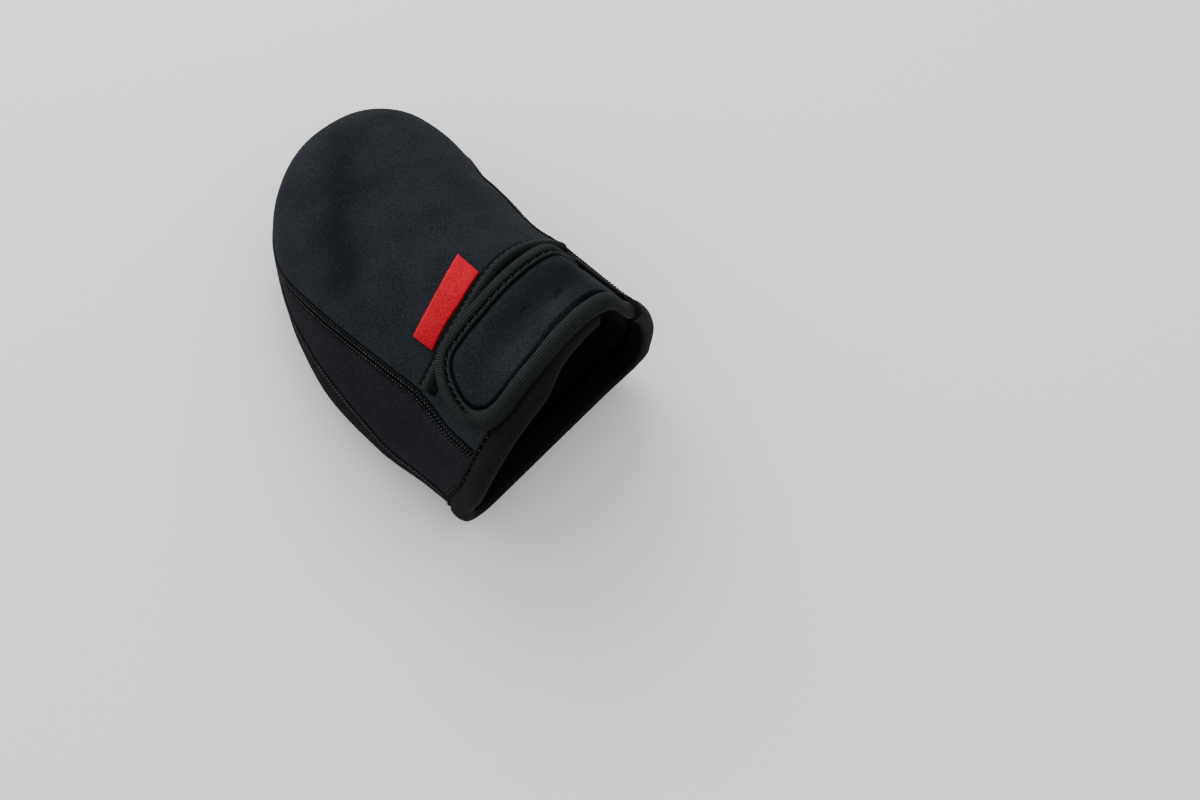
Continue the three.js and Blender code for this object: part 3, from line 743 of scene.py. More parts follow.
class GrainGroup:
    """Shader node group for short-pile cloth: fibre grain, broad mottling and pale flecks, with the colour
    scaled by the painted shade that comes in at Shade.
    """

    NAME = "cloth_grain"
    FIBRE_SHARE = 0.75
    GRAIN_RANGE = (0.36, 0.64)
    FLECK_RANGE = (0.68, 0.76)

    @classmethod
    def tree(cls) -> bpy.types.NodeTree:
        """The group's tree, which is built on first use."""
        found = bpy.data.node_groups.get(cls.NAME)
        return found or cls.build()

    @classmethod
    def build(cls) -> bpy.types.NodeTree:
        """Builds the group with its named inputs and outputs."""
        tree = bpy.data.node_groups.new(cls.NAME, "ShaderNodeTree")
        for name, kind in (
            ("Vector", "NodeSocketVector"),
            ("Grain Scale", "NodeSocketFloat"),
            ("Mottle Scale", "NodeSocketFloat"),
            ("Dark Color", "NodeSocketColor"),
            ("Light Color", "NodeSocketColor"),
            ("Fleck Color", "NodeSocketColor"),
            ("Fleck Amount", "NodeSocketFloat"),
            ("Shade", "NodeSocketFloat"),
            ("Roughness", "NodeSocketFloat"),
            ("Roughness Spread", "NodeSocketFloat"),
        ):
            tree.interface.new_socket(name, in_out="INPUT", socket_type=kind)
        for name, kind in (
            ("Color", "NodeSocketColor"),
            ("Roughness", "NodeSocketFloat"),
            ("Height", "NodeSocketFloat"),
        ):
            tree.interface.new_socket(name, in_out="OUTPUT", socket_type=kind)
        nodes, links = tree.nodes, tree.links
        given, out = nodes.new("NodeGroupInput"), nodes.new("NodeGroupOutput")
        fine, coarse = cls._noise(tree, 3.0), cls._noise(tree, 2.0)
        links.new(given.outputs["Vector"], fine.inputs["Vector"])
        links.new(given.outputs["Vector"], coarse.inputs["Vector"])
        links.new(given.outputs["Grain Scale"], fine.inputs["Scale"])
        links.new(given.outputs["Mottle Scale"], coarse.inputs["Scale"])
        blend = nodes.new("ShaderNodeMath")
        blend.operation = "MULTIPLY_ADD"
        blend.inputs[1].default_value = cls.FIBRE_SHARE
        links.new(fine.outputs["Fac"], blend.inputs[0])
        mottle = nodes.new("ShaderNodeMath")
        mottle.operation = "MULTIPLY"
        mottle.inputs[1].default_value = 1 - cls.FIBRE_SHARE
        links.new(coarse.outputs["Fac"], mottle.inputs[0])
        links.new(mottle.outputs[0], blend.inputs[2])
        spread = cls._range(tree, *cls.GRAIN_RANGE)
        links.new(blend.outputs[0], spread.inputs["Value"])
        ground = ColorMix(tree)
        links.new(spread.outputs["Result"], ground.inputs["Factor"])
        links.new(given.outputs["Dark Color"], ground.inputs["A"])
        links.new(given.outputs["Light Color"], ground.inputs["B"])
        flecks = cls._range(tree, *cls.FLECK_RANGE)
        links.new(fine.outputs["Fac"], flecks.inputs["Value"])
        amount = nodes.new("ShaderNodeMath")
        amount.operation = "MULTIPLY"
        links.new(flecks.outputs["Result"], amount.inputs[0])
        links.new(given.outputs["Fleck Amount"], amount.inputs[1])
        surface = ColorMix(tree)
        links.new(amount.outputs[0], surface.inputs["Factor"])
        links.new(ground.outputs["Result"], surface.inputs["A"])
        links.new(given.outputs["Fleck Color"], surface.inputs["B"])
        # Painted shade: the colour is scaled by one minus Shade, so negative Shade paints a highlight.
        keep = nodes.new("ShaderNodeMath")
        keep.operation = "SUBTRACT"
        keep.inputs[0].default_value = 1.0
        links.new(given.outputs["Shade"], keep.inputs[1])
        toned = nodes.new("ShaderNodeVectorMath")
        toned.operation = "SCALE"
        links.new(surface.outputs["Result"], toned.inputs["Vector"])
        links.new(keep.outputs[0], toned.inputs["Scale"])
        links.new(toned.outputs["Vector"], out.inputs["Color"])
        rough = nodes.new("ShaderNodeMath")
        rough.operation = "MULTIPLY_ADD"
        links.new(fine.outputs["Fac"], rough.inputs[0])
        links.new(given.outputs["Roughness Spread"], rough.inputs[1])
        links.new(given.outputs["Roughness"], rough.inputs[2])
        links.new(rough.outputs[0], out.inputs["Roughness"])
        links.new(fine.outputs["Fac"], out.inputs["Height"])
        return tree

    @staticmethod
    def _noise(tree: bpy.types.NodeTree, detail: float) -> bpy.types.Node:
        """A noise texture of a set detail."""
        node = tree.nodes.new("ShaderNodeTexNoise")
        node.inputs["Detail"].default_value = detail
        return node

    @staticmethod
    def _range(tree: bpy.types.NodeTree, low: float, high: float) -> bpy.types.Node:
        """A node that spreads values between low and high over 0 to 1."""
        node = tree.nodes.new("ShaderNodeMapRange")
        node.inputs["From Min"].default_value = low
        node.inputs["From Max"].default_value = high
        return node


@dataclass(frozen=True)
class ClothFinish:
    """A matt cloth finish: colours in linear light, grain sizes in millimetres."""

    name: str
    dark: Color
    light: Color
    fleck: Color
    fleck_amount: float = 0.4
    grain: float = 0.35
    mottle: float = 14.0
    roughness: float = 0.72
    roughness_spread: float = 0.2
    bump: float = 0.5
    bump_depth: float = 0.12
    sheen: float = 0.0
    specular: float = 0.02
    # How strongly the painted shade attribute darkens the colour, or lightens it where negative.
    darkening: float = 0.85

    def material(self) -> bpy.types.Material:
        """The finish as a material, which is built on first use."""
        found = bpy.data.materials.get(self.name)
        return found or self.build()

    def build(self) -> bpy.types.Material:
        """Builds the material from the shared grain group and the finish's own values."""
        material = bpy.data.materials.new(self.name)
        material.use_nodes = True
        tree = material.node_tree
        shader = tree.nodes["Principled BSDF"]
        shader.inputs["Sheen Weight"].default_value = self.sheen
        shader.inputs["Sheen Roughness"].default_value = 0.5
        shader.inputs["Specular IOR Level"].default_value = self.specular
        place = tree.nodes.new("ShaderNodeTexCoord")
        grain = tree.nodes.new("ShaderNodeGroup")
        grain.node_tree = GrainGroup.tree()
        tree.links.new(place.outputs["Object"], grain.inputs["Vector"])
        grain.inputs["Grain Scale"].default_value = 1 / (self.grain * TO_METRES)
        grain.inputs["Mottle Scale"].default_value = 1 / (self.mottle * TO_METRES)
        grain.inputs["Dark Color"].default_value = self.dark
        grain.inputs["Light Color"].default_value = self.light
        grain.inputs["Fleck Color"].default_value = self.fleck
        grain.inputs["Fleck Amount"].default_value = self.fleck_amount
        grain.inputs["Roughness"].default_value = self.roughness
        grain.inputs["Roughness Spread"].default_value = self.roughness_spread
        # The painted shade attribute on the mesh darkens or lightens the colour through the grain group.
        shade = tree.nodes.new("ShaderNodeAttribute")
        shade.attribute_name = SHADE
        depth = tree.nodes.new("ShaderNodeMath")
        depth.operation = "MULTIPLY"
        depth.inputs[1].default_value = self.darkening
        tree.links.new(shade.outputs["Fac"], depth.inputs[0])
        tree.links.new(depth.outputs[0], grain.inputs["Shade"])
        tree.links.new(grain.outputs["Color"], shader.inputs["Base Color"])
        tree.links.new(grain.outputs["Roughness"], shader.inputs["Roughness"])
        bump = tree.nodes.new("ShaderNodeBump")
        bump.inputs["Strength"].default_value = self.bump
        bump.inputs["Distance"].default_value = self.bump_depth * TO_METRES
        tree.links.new(grain.outputs["Height"], bump.inputs["Height"])
        tree.links.new(bump.outputs["Normal"], shader.inputs["Normal"])
        return material


NEOPRENE = ClothFinish(
    "neoprene_face",
    dark=(0.0074, 0.0086, 0.0106, 1),
    light=(0.0200, 0.0226, 0.0272, 1),
    fleck=(0.048, 0.052, 0.058, 1),
    grain=0.62,
)
SIDE_NEOPRENE = ClothFinish(
    "side_neoprene",
    dark=(0.0056, 0.0060, 0.0080, 1),
    light=(0.0156, 0.0166, 0.0212, 1),
    fleck=(0.036, 0.037, 0.044, 1),
    grain=0.62,
)
LINING = ClothFinish(
    "jersey_lining",
    dark=(0.006, 0.006, 0.0065, 1),
    light=(0.012, 0.012, 0.013, 1),
    fleck=(0.02, 0.02, 0.021, 1),
    grain=0.6,
    roughness=0.8,
)
SOLE_CLOTH = ClothFinish(
    "sole_cloth",
    dark=(0.0045, 0.0045, 0.005, 1),
    light=(0.010, 0.010, 0.011, 1),
    fleck=(0.02, 0.02, 0.021, 1),
    grain=0.6,
    roughness=0.78,
)
TAPE_CLOTH = ClothFinish(
    "elastic_tape",
    dark=(0.0110, 0.0130, 0.0132, 1),
    light=(0.0196, 0.0228, 0.0226, 1),
    fleck=(0.026, 0.030, 0.030, 1),
    grain=0.5,
    roughness=0.62,
    specular=0.04,
)
COLLAR_CLOTH = ClothFinish(
    "collar_tape_cloth",
    dark=(0.0044, 0.0046, 0.0045, 1),
    light=(0.0094, 0.0097, 0.0094, 1),
    fleck=(0.012, 0.012, 0.012, 1),
    grain=0.6,
    roughness=0.6,
)
SEAM_CLOTH = ClothFinish(
    "seam_threads",
    dark=(0.0020, 0.0022, 0.0026, 1),
    light=(0.0050, 0.0055, 0.0060, 1),
    fleck=(0.02, 0.02, 0.02, 1),
    grain=0.4,
    roughness=0.6,
)
THREAD = ClothFinish(
    "bright_thread",
    dark=(0.018, 0.020, 0.021, 1),
    light=(0.060, 0.065, 0.067, 1),
    fleck=(0.13, 0.13, 0.13, 1),
    grain=1.6,
    roughness=0.5,
    specular=0.08,
    bump=0.2,
)
DULL_THREAD = ClothFinish(
    "dull_thread",
    dark=(0.008, 0.009, 0.0095, 1),
    light=(0.026, 0.028, 0.030, 1),
    fleck=(0.05, 0.05, 0.05, 1),
    grain=1.6,
    roughness=0.5,
    specular=0.06,
    bump=0.2,
)
LABEL_CLOTH = ClothFinish(
    "red_ribbon",
    dark=(0.31, 0.0045, 0.013, 1),
    light=(0.54, 0.010, 0.024, 1),
    fleck=(0.60, 0.03, 0.04, 1),
    fleck_amount=0.2,
    grain=0.6,
    roughness=0.65,
)


class StitchTree:
    """Geometry node tree that sets a thread bead on every point of a line."""

    NAME = "stitch_beads"

    @classmethod
    def tree(cls) -> bpy.types.NodeTree:
        """The tree, which is built on first use."""
        return bpy.data.node_groups.get(cls.NAME) or cls.build()

    @classmethod
    def build(cls) -> bpy.types.NodeTree:
        """Builds the tree with named inputs for the bead's sizes."""
        tree = bpy.data.node_groups.new(cls.NAME, "GeometryNodeTree")
        tree.interface.new_socket("Geometry", in_out="INPUT", socket_type="NodeSocketGeometry")
        for name, value in (("Length", 0.001), ("Width", 0.0006), ("Height", 0.0004), ("Unevenness", 0.15)):
            socket = tree.interface.new_socket(name, in_out="INPUT", socket_type="NodeSocketFloat")
            socket.default_value = value
        tree.interface.new_socket("Material", in_out="INPUT", socket_type="NodeSocketMaterial")
        tree.interface.new_socket("Geometry", in_out="OUTPUT", socket_type="NodeSocketGeometry")
        nodes, links = tree.nodes, tree.links
        given, out = nodes.new("NodeGroupInput"), nodes.new("NodeGroupOutput")
        bead = nodes.new("GeometryNodeMeshUVSphere")
        bead.inputs["Segments"].default_value = 8
        bead.inputs["Rings"].default_value = 5
        bead.inputs["Radius"].default_value = 0.5
        size = nodes.new("ShaderNodeCombineXYZ")
        for socket, name in zip(size.inputs, ("Length", "Width", "Height")):
            links.new(given.outputs[name], socket)
        shaped = nodes.new("GeometryNodeTransform")
        links.new(bead.outputs["Mesh"], shaped.inputs["Geometry"])
        links.new(size.outputs["Vector"], shaped.inputs["Scale"])
        facing = nodes.new("FunctionNodeAxesToRotation")
        facing.primary_axis = "Z"
        facing.secondary_axis = "X"
        links.new(cls._attribute(tree, "up"), facing.inputs["Primary Axis"])
        links.new(cls._attribute(tree, "heading"), facing.inputs["Secondary Axis"])
        scale = nodes.new("FunctionNodeRandomValue")
        scale.data_type = "FLOAT"
        scale.inputs["Seed"].default_value = 7
        low, high = nodes.new("ShaderNodeMath"), nodes.new("ShaderNodeMath")
        low.operation, high.operation = "SUBTRACT", "ADD"
        low.inputs[0].default_value = high.inputs[0].default_value = 1.0
        links.new(given.outputs["Unevenness"], low.inputs[1])
        links.new(given.outputs["Unevenness"], high.inputs[1])
        links.new(low.outputs[0], scale.inputs[2])
        links.new(high.outputs[0], scale.inputs[3])
        placed = nodes.new("GeometryNodeInstanceOnPoints")
        links.new(given.outputs["Geometry"], placed.inputs["Points"])
        links.new(shaped.outputs["Geometry"], placed.inputs["Instance"])
        links.new(facing.outputs["Rotation"], placed.inputs["Rotation"])
        links.new(scale.outputs[1], placed.inputs["Scale"])
        real = nodes.new("GeometryNodeRealizeInstances")
        links.new(placed.outputs["Instances"], real.inputs["Geometry"])
        dressed = nodes.new("GeometryNodeSetMaterial")
        links.new(real.outputs["Geometry"], dressed.inputs["Geometry"])
        links.new(given.outputs["Material"], dressed.inputs["Material"])
        links.new(dressed.outputs["Geometry"], out.inputs["Geometry"])
        return tree

    @staticmethod
    def _attribute(tree: bpy.types.NodeTree, name: str) -> bpy.types.NodeSocket:
        """The output of a node that reads a vector stored on the line's points."""
        node = tree.nodes.new("GeometryNodeInputNamedAttribute")
        node.data_type = "FLOAT_VECTOR"
        node.inputs["Name"].default_value = name
        return node.outputs["Attribute"]


@dataclass
class Stitches:
    """A row of thread beads on a line over the wall."""

    name: str
    finish: ClothFinish
    length: float = 1.0
    width: float = 0.7
    height: float = 0.5
    unevenness: float = 0.15

    def build(self, points: Array, ups: Array, headings: Array) -> bpy.types.Object:
        """Makes the beads.

        Args:
            points: The beads' centres, in millimetres.
            ups: The directions away from the cloth.
            headings: The directions along the row.

        Returns:
            A plain mesh object with every bead in it.
        """
        mesh = bpy.data.meshes.new(self.name)
        mesh.from_pydata((points * TO_METRES).tolist(), [], [])
        for name, values in (("up", ups), ("heading", headings)):
            attribute = mesh.attributes.new(name, "FLOAT_VECTOR", "POINT")
            attribute.data.foreach_set("vector", np.asarray(values, np.float32).ravel())
        thing = bpy.data.objects.new(self.name, mesh)
        bpy.context.collection.objects.link(thing)
        modifier = thing.modifiers.new("stitches", "NODES")
        modifier.node_group = StitchTree.tree()
        values = {
            "Length": self.length * TO_METRES,
            "Width": self.width * TO_METRES,
            "Height": self.height * TO_METRES,
            "Unevenness": self.unevenness,
            "Material": self.finish.material(),
        }
        for item in modifier.node_group.interface.items_tree:
            if item.in_out == "INPUT" and item.name in values:
                modifier[item.identifier] = values[item.name]
        bpy.context.view_layer.update()
        plain = bpy.data.meshes.new_from_object(thing.evaluated_get(bpy.context.evaluated_depsgraph_get()))
        thing.modifiers.remove(modifier)
        thing.data = plain
        thing.data.polygons.foreach_set("use_smooth", [True] * len(plain.polygons))
        return thing

    def along(self, path: WallPath, height: float, swing: float = 0.0) -> bpy.types.Object:
        """Makes the beads along a wall path, turned by swing degrees from its heading."""
        frame = path.wall.frame(path.back, path.turn)
        points = path.points(height)
        headings = unit(np.gradient(points, axis=0))
        sides = unit(np.cross(headings, frame.normal))
        angle = math.radians(swing)
        turned = headings * math.cos(angle) + sides * math.sin(angle)
        return self.build(points, frame.normal, turned)


class Side(Enum):
    """The two sides of the foot."""

    OUTER = 1
    INNER = -1


@dataclass
class Shell:
    """The hollow form that upper and sole are cut from, and the tools that cut it."""

    wall: Wall
    rows: int = 150
    columns: int = 220
    throat_fold: float = 4.6
    slit_width: float = 3.2
    quarter_turn: float = 46.0
    tab_end_turn: float = 76.0
    edge_past: float = 0.6
    seam_width: float = 5.5
    cleat_length: float = 52.0
    cleat_width: float = 40.0
    cleat_corner: float = 12.0
    cleat_back: float = 80.0
    cleat_offset: float = -12.0

    def build(self, name: str) -> bpy.types.Object:
        """The whole hollow form, open at the collar, with its inner face in slot 1."""
        turns = np.linspace(0, 360, self.columns, endpoint=False)
        shares = 1 - np.cos(np.linspace(0, 1, self.rows + 1)[1:] * math.pi / 2)
        back = shares[:, None] * self.wall.collar_edge(turns)[None, :]
        outer = self.wall.raised(back, turns[None, :], 0.0)
        inner = self.wall.raised(back, turns[None, :], -self.wall.thickness)
        tip = np.array([0, 0, self.wall.tip_height]) + np.array(self.wall.origin)
        outer_tip = np.tile(tip, (1, self.columns, 1))
        inner_tip = outer_tip - np.array([0, self.wall.thickness, 0])
        loops = np.concatenate([inner_tip, inner, outer[::-1], outer_tip])
        slots = [1] * self.rows + [0] * (self.rows + 1)
        return skin(name, loops, slots, capped=False)

    def below_seam(self, clearance: float) -> bpy.types.Object:
        """A block of all that lies below the lower seam.

        Args:
            clearance: How far the block's top is moved up.

        Returns:
            The block.
        """
        half = self.wall.ball_width / 2
        along = np.linspace(-0.2, 1.2, 90)
        outer = self.wall.low_outer(along) * self.wall.tip_height + clearance
        inner = self.wall.low_inner(along) * self.wall.tip_height + clearance
        rise = inner - outer
        y = -along * self.wall.spine_length
        corners = [
            (-3 * half, outer - rise),
            (3 * half, inner + rise),
            (3 * half, np.full_like(y, -half)),
            (-3 * half, np.full_like(y, -half)),
        ]
        loops = np.stack([np.stack([np.full_like(y, x), y, z], -1) for x, z in corners], axis=1)
        return skin("below_seam", loops + np.array(self.wall.origin))

    def wall_cutter(self, name: str, turns: Array, front: Array, rear: Array) -> bpy.types.Object:
        """A cutter through the wall between a front and a rear edge."""
        thick = self.wall.thickness
        sides = ((front, 2 * thick), (rear, 2 * thick), (rear, -3 * thick), (front, -3 * thick))
        loops = np.stack([self.wall.raised(back, turns, height) for back, height in sides], axis=1)
        return skin(name, loops)

    def vamp_edge(self, turn: Array) -> Array:
        """How far back the vamp's cut edge lies, under its binding."""
        return self.wall.throat(turn) * self.wall.spine_length + self.throat_fold

    def throat_turns(self) -> tuple[float, float]:
        """The turns between which the throat is open, close inside the raised seams."""
        along = THROAT_LINE[-1].along
        seam = float(self.wall.seam_turn(np.array(along)))
        frame = self.wall.frame(np.array([along * self.wall.spine_length]), np.array([seam]))
        clear = (self.seam_width / 2 + self.wall.gap) / float(np.linalg.norm(frame.around))
        return 180 - seam + clear, seam - clear

    def throat_slit(self) -> bpy.types.Object:
        """The cutter of the slit behind the vamp."""
        turns = np.linspace(*self.throat_turns(), 120)
        front = self.vamp_edge(turns)
        return self.wall_cutter("slit", turns, front, front + self.slit_width)

    def instep_opening(self) -> bpy.types.Object:
        """The cutter of the opening between the tab and the inner quarter."""
        turns = np.linspace(self.quarter_turn + self.edge_past, self.tab_end_turn - self.edge_past, 40)
        past_collar = np.full(len(turns), 1.25 * self.wall.spine_length)
        return self.wall_cutter("instep", turns, self.vamp_edge(turns), past_collar)

    def cleat_loop(self, grow: float = 0.0, steps: int = 12) -> Array:
        """The outline of the cleat opening, in plan, with rounded corners."""
        half_w, half_l = self.cleat_width / 2 + grow, self.cleat_length / 2 + grow
        radius = self.cleat_corner + grow
        loop = []
        for corner, (sx, sy) in enumerate(((1, 1), (-1, 1), (-1, -1), (1, -1))):
            for angle in np.linspace(corner * 90, corner * 90 + 90, steps):
                x = sx * (half_w - radius) + radius * math.cos(math.radians(angle))
                y = sy * (half_l - radius) + radius * math.sin(math.radians(angle))
                loop.append((x + self.cleat_offset, y - self.cleat_back))
        return np.array(loop) + np.array(self.wall.origin[:2])

    def cleat_cutter(self) -> bpy.types.Object:
        """The cutter of the cleat opening, straight up through the sole."""
        loop = self.cleat_loop()
        levels = (-3 * self.wall.thickness, 3 * self.wall.thickness)
        rings = [np.column_stack([loop, np.full(len(loop), z)]) for z in levels]
        centres = [np.tile(ring.mean(axis=0), (len(loop), 1)) for ring in rings]
        return skin("cleat", np.array([centres[0], *rings, centres[1]]), capped=False)


def read_vectors(items: bpy.types.bpy_prop_collection, name: str) -> Array:
    """Reads a vector of each vertex or face, in millimetres."""
    values = np.zeros(len(items) * 3)
    items.foreach_get(name, values)
    return values.reshape(-1, 3) / TO_METRES


class WallLookup:
    """Finds the place of the wall that is nearest to a point."""

    def __init__(self, wall: Wall, rows: int = 170, columns: int = 240) -> None:
        """Sets up the search over a fine grid of places."""
        back, turn = np.meshgrid(
            np.linspace(0.2, 1.08 * wall.spine_length, rows), np.linspace(0, 360, columns, endpoint=False)
        )
        self.back, self.turn = back.ravel(), turn.ravel()
        points = wall.point(self.back, self.turn)
        self.tree = KDTree(len(points))
        for i, point in enumerate(points):
            self.tree.insert(point, i)
        self.tree.balance()

    def places(self, points: Array) -> tuple[Array, Array]:
        """The back and turn of the places nearest to points."""
        found = np.array([self.tree.find(point)[1] for point in points])
        return self.back[found], self.turn[found]


@dataclass
class Upper:
    """The upper: vamp, side bands, closure tab and inner quarter, with its raised seam and stitches."""

    shell: Shell
    row_offset: float = 1.3
    bead_offset: float = 0.55
    pitch: float = 1.35

    def build(self) -> list[bpy.types.Object]:
        """Builds the upper and what is sewn on it."""
        upper = self.shell.build("upper_cloth")
        carve(upper, self.shell.below_seam(self.shell.wall.gap), "DIFFERENCE")
        carve(upper, self.shell.throat_slit(), "DIFFERENCE")
        carve(upper, self.shell.instep_opening(), "DIFFERENCE")
        self.dress(upper)
        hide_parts("upper")
        return [upper, self.seam_strip(), *self.stitch_rows()]

    def dress(self, upper: bpy.types.Object) -> None:
        """Gives face, side band and lining their finishes, and the creases their painted shade and
        highlights.

        Args:
            upper: The upper's object.
        """
        upper.data.materials.clear()
        for finish in (NEOPRENE, LINING, SIDE_NEOPRENE):
            upper.data.materials.append(finish.material())
        wall = self.shell.wall
        nearest = WallLookup(wall)
        mesh = upper.data
        vertices = read_vectors(mesh.vertices, "co")
        back, turn = nearest.places(vertices)
        # Painted shade of the creases, and painted highlights where a crease's shade is negative.
        set_shade(mesh, creased(wall.creases, back, turn, "shade"))
        back, turn = nearest.places(read_vectors(mesh.polygons, "center"))
        seam = wall.seam_turn(back / wall.spine_length)
        slots = np.zeros(len(mesh.polygons), np.int32)
        mesh.polygons.foreach_get("material_index", slots)
        slots[(slots == 0) & ((turn > seam) | (turn < 180 - seam))] = 2
        mesh.polygons.foreach_set("material_index", slots)
        soften(upper)

    def seam_path(self) -> WallPath:
        """The upper seam from the collar on the outer side round the toe to the collar on the inner side."""
        wall = self.shell.wall
        backs = []
        for side in Side:
            turn_end = float(wall.seam_turn(np.array(1.0)))
            turn = turn_end if side is Side.OUTER else 180 - turn_end
            end = float(wall.collar(np.array(turn)) * wall.spine_length) - 8.5
            backs.append(end * (1 - np.cos(np.linspace(0.045, 1, 200) * math.pi / 2)))
        outer_turn = wall.seam_turn(backs[0] / wall.spine_length)
        inner_turn = 180 - wall.seam_turn(backs[1] / wall.spine_length)
        back = np.concatenate([backs[0][::-1], backs[1]])
        return WallPath(wall, back, np.concatenate([outer_turn[::-1], inner_turn]))

    def seam_strip(self) -> bpy.types.Object:
        """The raised flatlock band."""
        strip = strip_along("upper_seam", self.seam_path(), UPPER_STRIP)
        strip.data.materials.append(SEAM_CLOTH.material())
        return strip

    def stitch_rows(self) -> list[bpy.types.Object]:
        """The two double rows of beads on the seam."""
        rows = []
        bright = Stitches("seam_beads_bright", THREAD, length=0.78, width=0.56, height=0.44)
        dull = Stitches("seam_beads_dull", DULL_THREAD, length=0.78, width=0.5, height=0.4)
        parts = {"bright": [], "dull": []}
        path = self.seam_path().spaced(self.pitch)
        for row in (-1, 1):
            for bead in (-1, 1):
                aside = row * self.row_offset + bead * self.bead_offset
                kind = "bright" if row * bead < 0 else "dull"
                parts[kind].append(offset_line(path, aside, BEAD_RISE, bead * BEAD_LEAD))
        for kind, maker in (("bright", bright), ("dull", dull)):
            points, ups, headings = (np.concatenate([part[k] for part in parts[kind]]) for k in range(3))
            rows.append(maker.build(points, ups, headings))
        return rows


def smoothed(values: Array, reach: int = 3) -> Array:
    """Rows averaged over a few neighbours on each side; the two ends stay where they are."""
    head = 2 * values[:1] - values[reach:0:-1]
    tail = 2 * values[-1:] - values[-2 : -reach - 2 : -1]
    padded = np.concatenate([head, values, tail])
    return sum(padded[i : i + len(values)] for i in range(2 * reach + 1)) / (2 * reach + 1)


def path_frames(path: WallPath) -> tuple[Array, Array, Array, Array]:
    """A path's points, headings, normals and sides, worked out from its points in space.

    Args:
        path: The path.

    Returns:
        Points, headings, normals and sides, one row a point.
    """
    points = smoothed(path.points())
    headings = unit(np.gradient(points, axis=0))
    normals = smoothed(path.wall.frame(path.back, path.turn).normal)
    normals = unit(normals - headings * (normals * headings).sum(1)[:, None])
    return points, headings, normals, unit(np.cross(headings, normals))


def offset_line(path: WallPath, aside: float, height: float, lead: float = 0.0) -> tuple[Array, Array, Array]:
    """Points beside a path, with the directions up and along for stitches.

    Args:
        path: The path, with its points where the stitches go.
        aside: The distance beside it.
        height: The height over it.
        lead: How far along the row is moved, in pitches.

    Returns:
        Points, ups and headings.
    """
    points, headings, normals, sides = path_frames(path)
    step = np.linalg.norm(np.gradient(points, axis=0), axis=1)[:, None]
    moved = points + sides * aside + normals * height + headings * step * lead
    return moved, normals, headings


def strip_along(name: str, path: WallPath, rows: Sequence[StripRow], depth: float = 0.8) -> bpy.types.Object:
    """A flat strip that lies along a path, with a table for its cross-section.

    Args:
        name: The object's name.
        path: The path that it follows.
        rows: Its face from one edge to the other.
        depth: How far its underside lies below the path.

    Returns:
        The new object.
    """
    points, _, normals, sides = path_frames(path.spaced(1.0))
    under = [StripRow(row.aside, -depth, row.shade) for row in reversed(rows)]
    profile = [*rows, *under]
    loops = np.stack([points + sides * row.aside + normals * row.height for row in profile], axis=1)
    # The strip's painted shade, from its table.
    shade = np.tile([row.shade for row in profile], (len(points), 1))
    return skin(name, loops, shade=shade)


def seam_beads(name: str, path: WallPath, pitch: float = 1.35, aside: float = 0.55) -> bpy.types.Object:
    """The two rows of thread beads on a narrow seam.

    Args:
        name: The object's name.
        path: The seam's middle.
        pitch: The distance from bead to bead.
        aside: The distance of each row from the middle.

    Returns:
        The beads as one object.
    """
    maker = Stitches(name, THREAD, length=0.7, width=0.5, height=0.44)
    spaced = path.spaced(pitch)
    lines = [offset_line(spaced, side * aside, BEAD_RISE, side * BEAD_LEAD) for side in (-1, 1)]
    return maker.build(*(np.concatenate([line[k] for line in lines]) for k in range(3)))


@dataclass
class Sole:
    """The sole: the underside panel with its turned-up edge and cleat opening, and the lower seam."""

    shell: Shell

    def build(self) -> list[bpy.types.Object]:
        """Builds the sole, the seam over its edge and the seam's stitches."""
        sole = self.shell.build("sole_cloth_panel")
        carve(sole, self.shell.below_seam(0.0), "INTERSECT")
        carve(sole, self.shell.cleat_cutter(), "DIFFERENCE")
        sole.data.materials.clear()
        for finish in (SOLE_CLOTH, LINING):
            sole.data.materials.append(finish.material())
        soften(sole)
        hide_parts("sole")
        path = self.seam_path()
        strip = strip_along("lower_seam", path, LOWER_STRIP)
        strip.data.materials.append(SEAM_CLOTH.material())
        beads = seam_beads("lower_seam_beads", path)
        return [sole, strip, beads]

    def seam_path(self) -> WallPath:
        """The lower seam, found by its height, from the outer collar round the toe to the inner one."""
        wall = self.shell.wall
        length = wall.spine_length
        rear = 0.985

        def place(x: Array, y: Array) -> tuple[Array, Array]:
            """A place from flat coordinates in which the toe tip is the middle of a disk."""
            return (x * x + y * y) * length, np.degrees(np.arctan2(y, x))

        def above(x: Array, y: Array) -> Array:
            """How far a place lies above the seam."""
            back, turn = place(x, y)
            point = wall.point(back, turn) - np.array(wall.origin)
            along = -point[..., 1] / length
            outer, inner = wall.low_outer(along) * wall.tip_height, wall.low_inner(along) * wall.tip_height
            share = point[..., 0] / wall.ball_width
            return point[..., 2] - (outer + inner) / 2 - share * (inner - outer)

        xs = np.linspace(-1.0, 1.0, 1200)
        low, high = np.full_like(xs, -0.95), np.full_like(xs, 0.9)
        for _ in range(40):
            middle = (low + high) / 2
            over = above(xs, middle) > 0
            low, high = np.where(over, low, middle), np.where(over, middle, high)
        back, turn = place(xs, (low + high) / 2)
        keep = back < rear * wall.collar_edge(turn) - 7.0
        return WallPath(wall, back[keep], turn[keep])


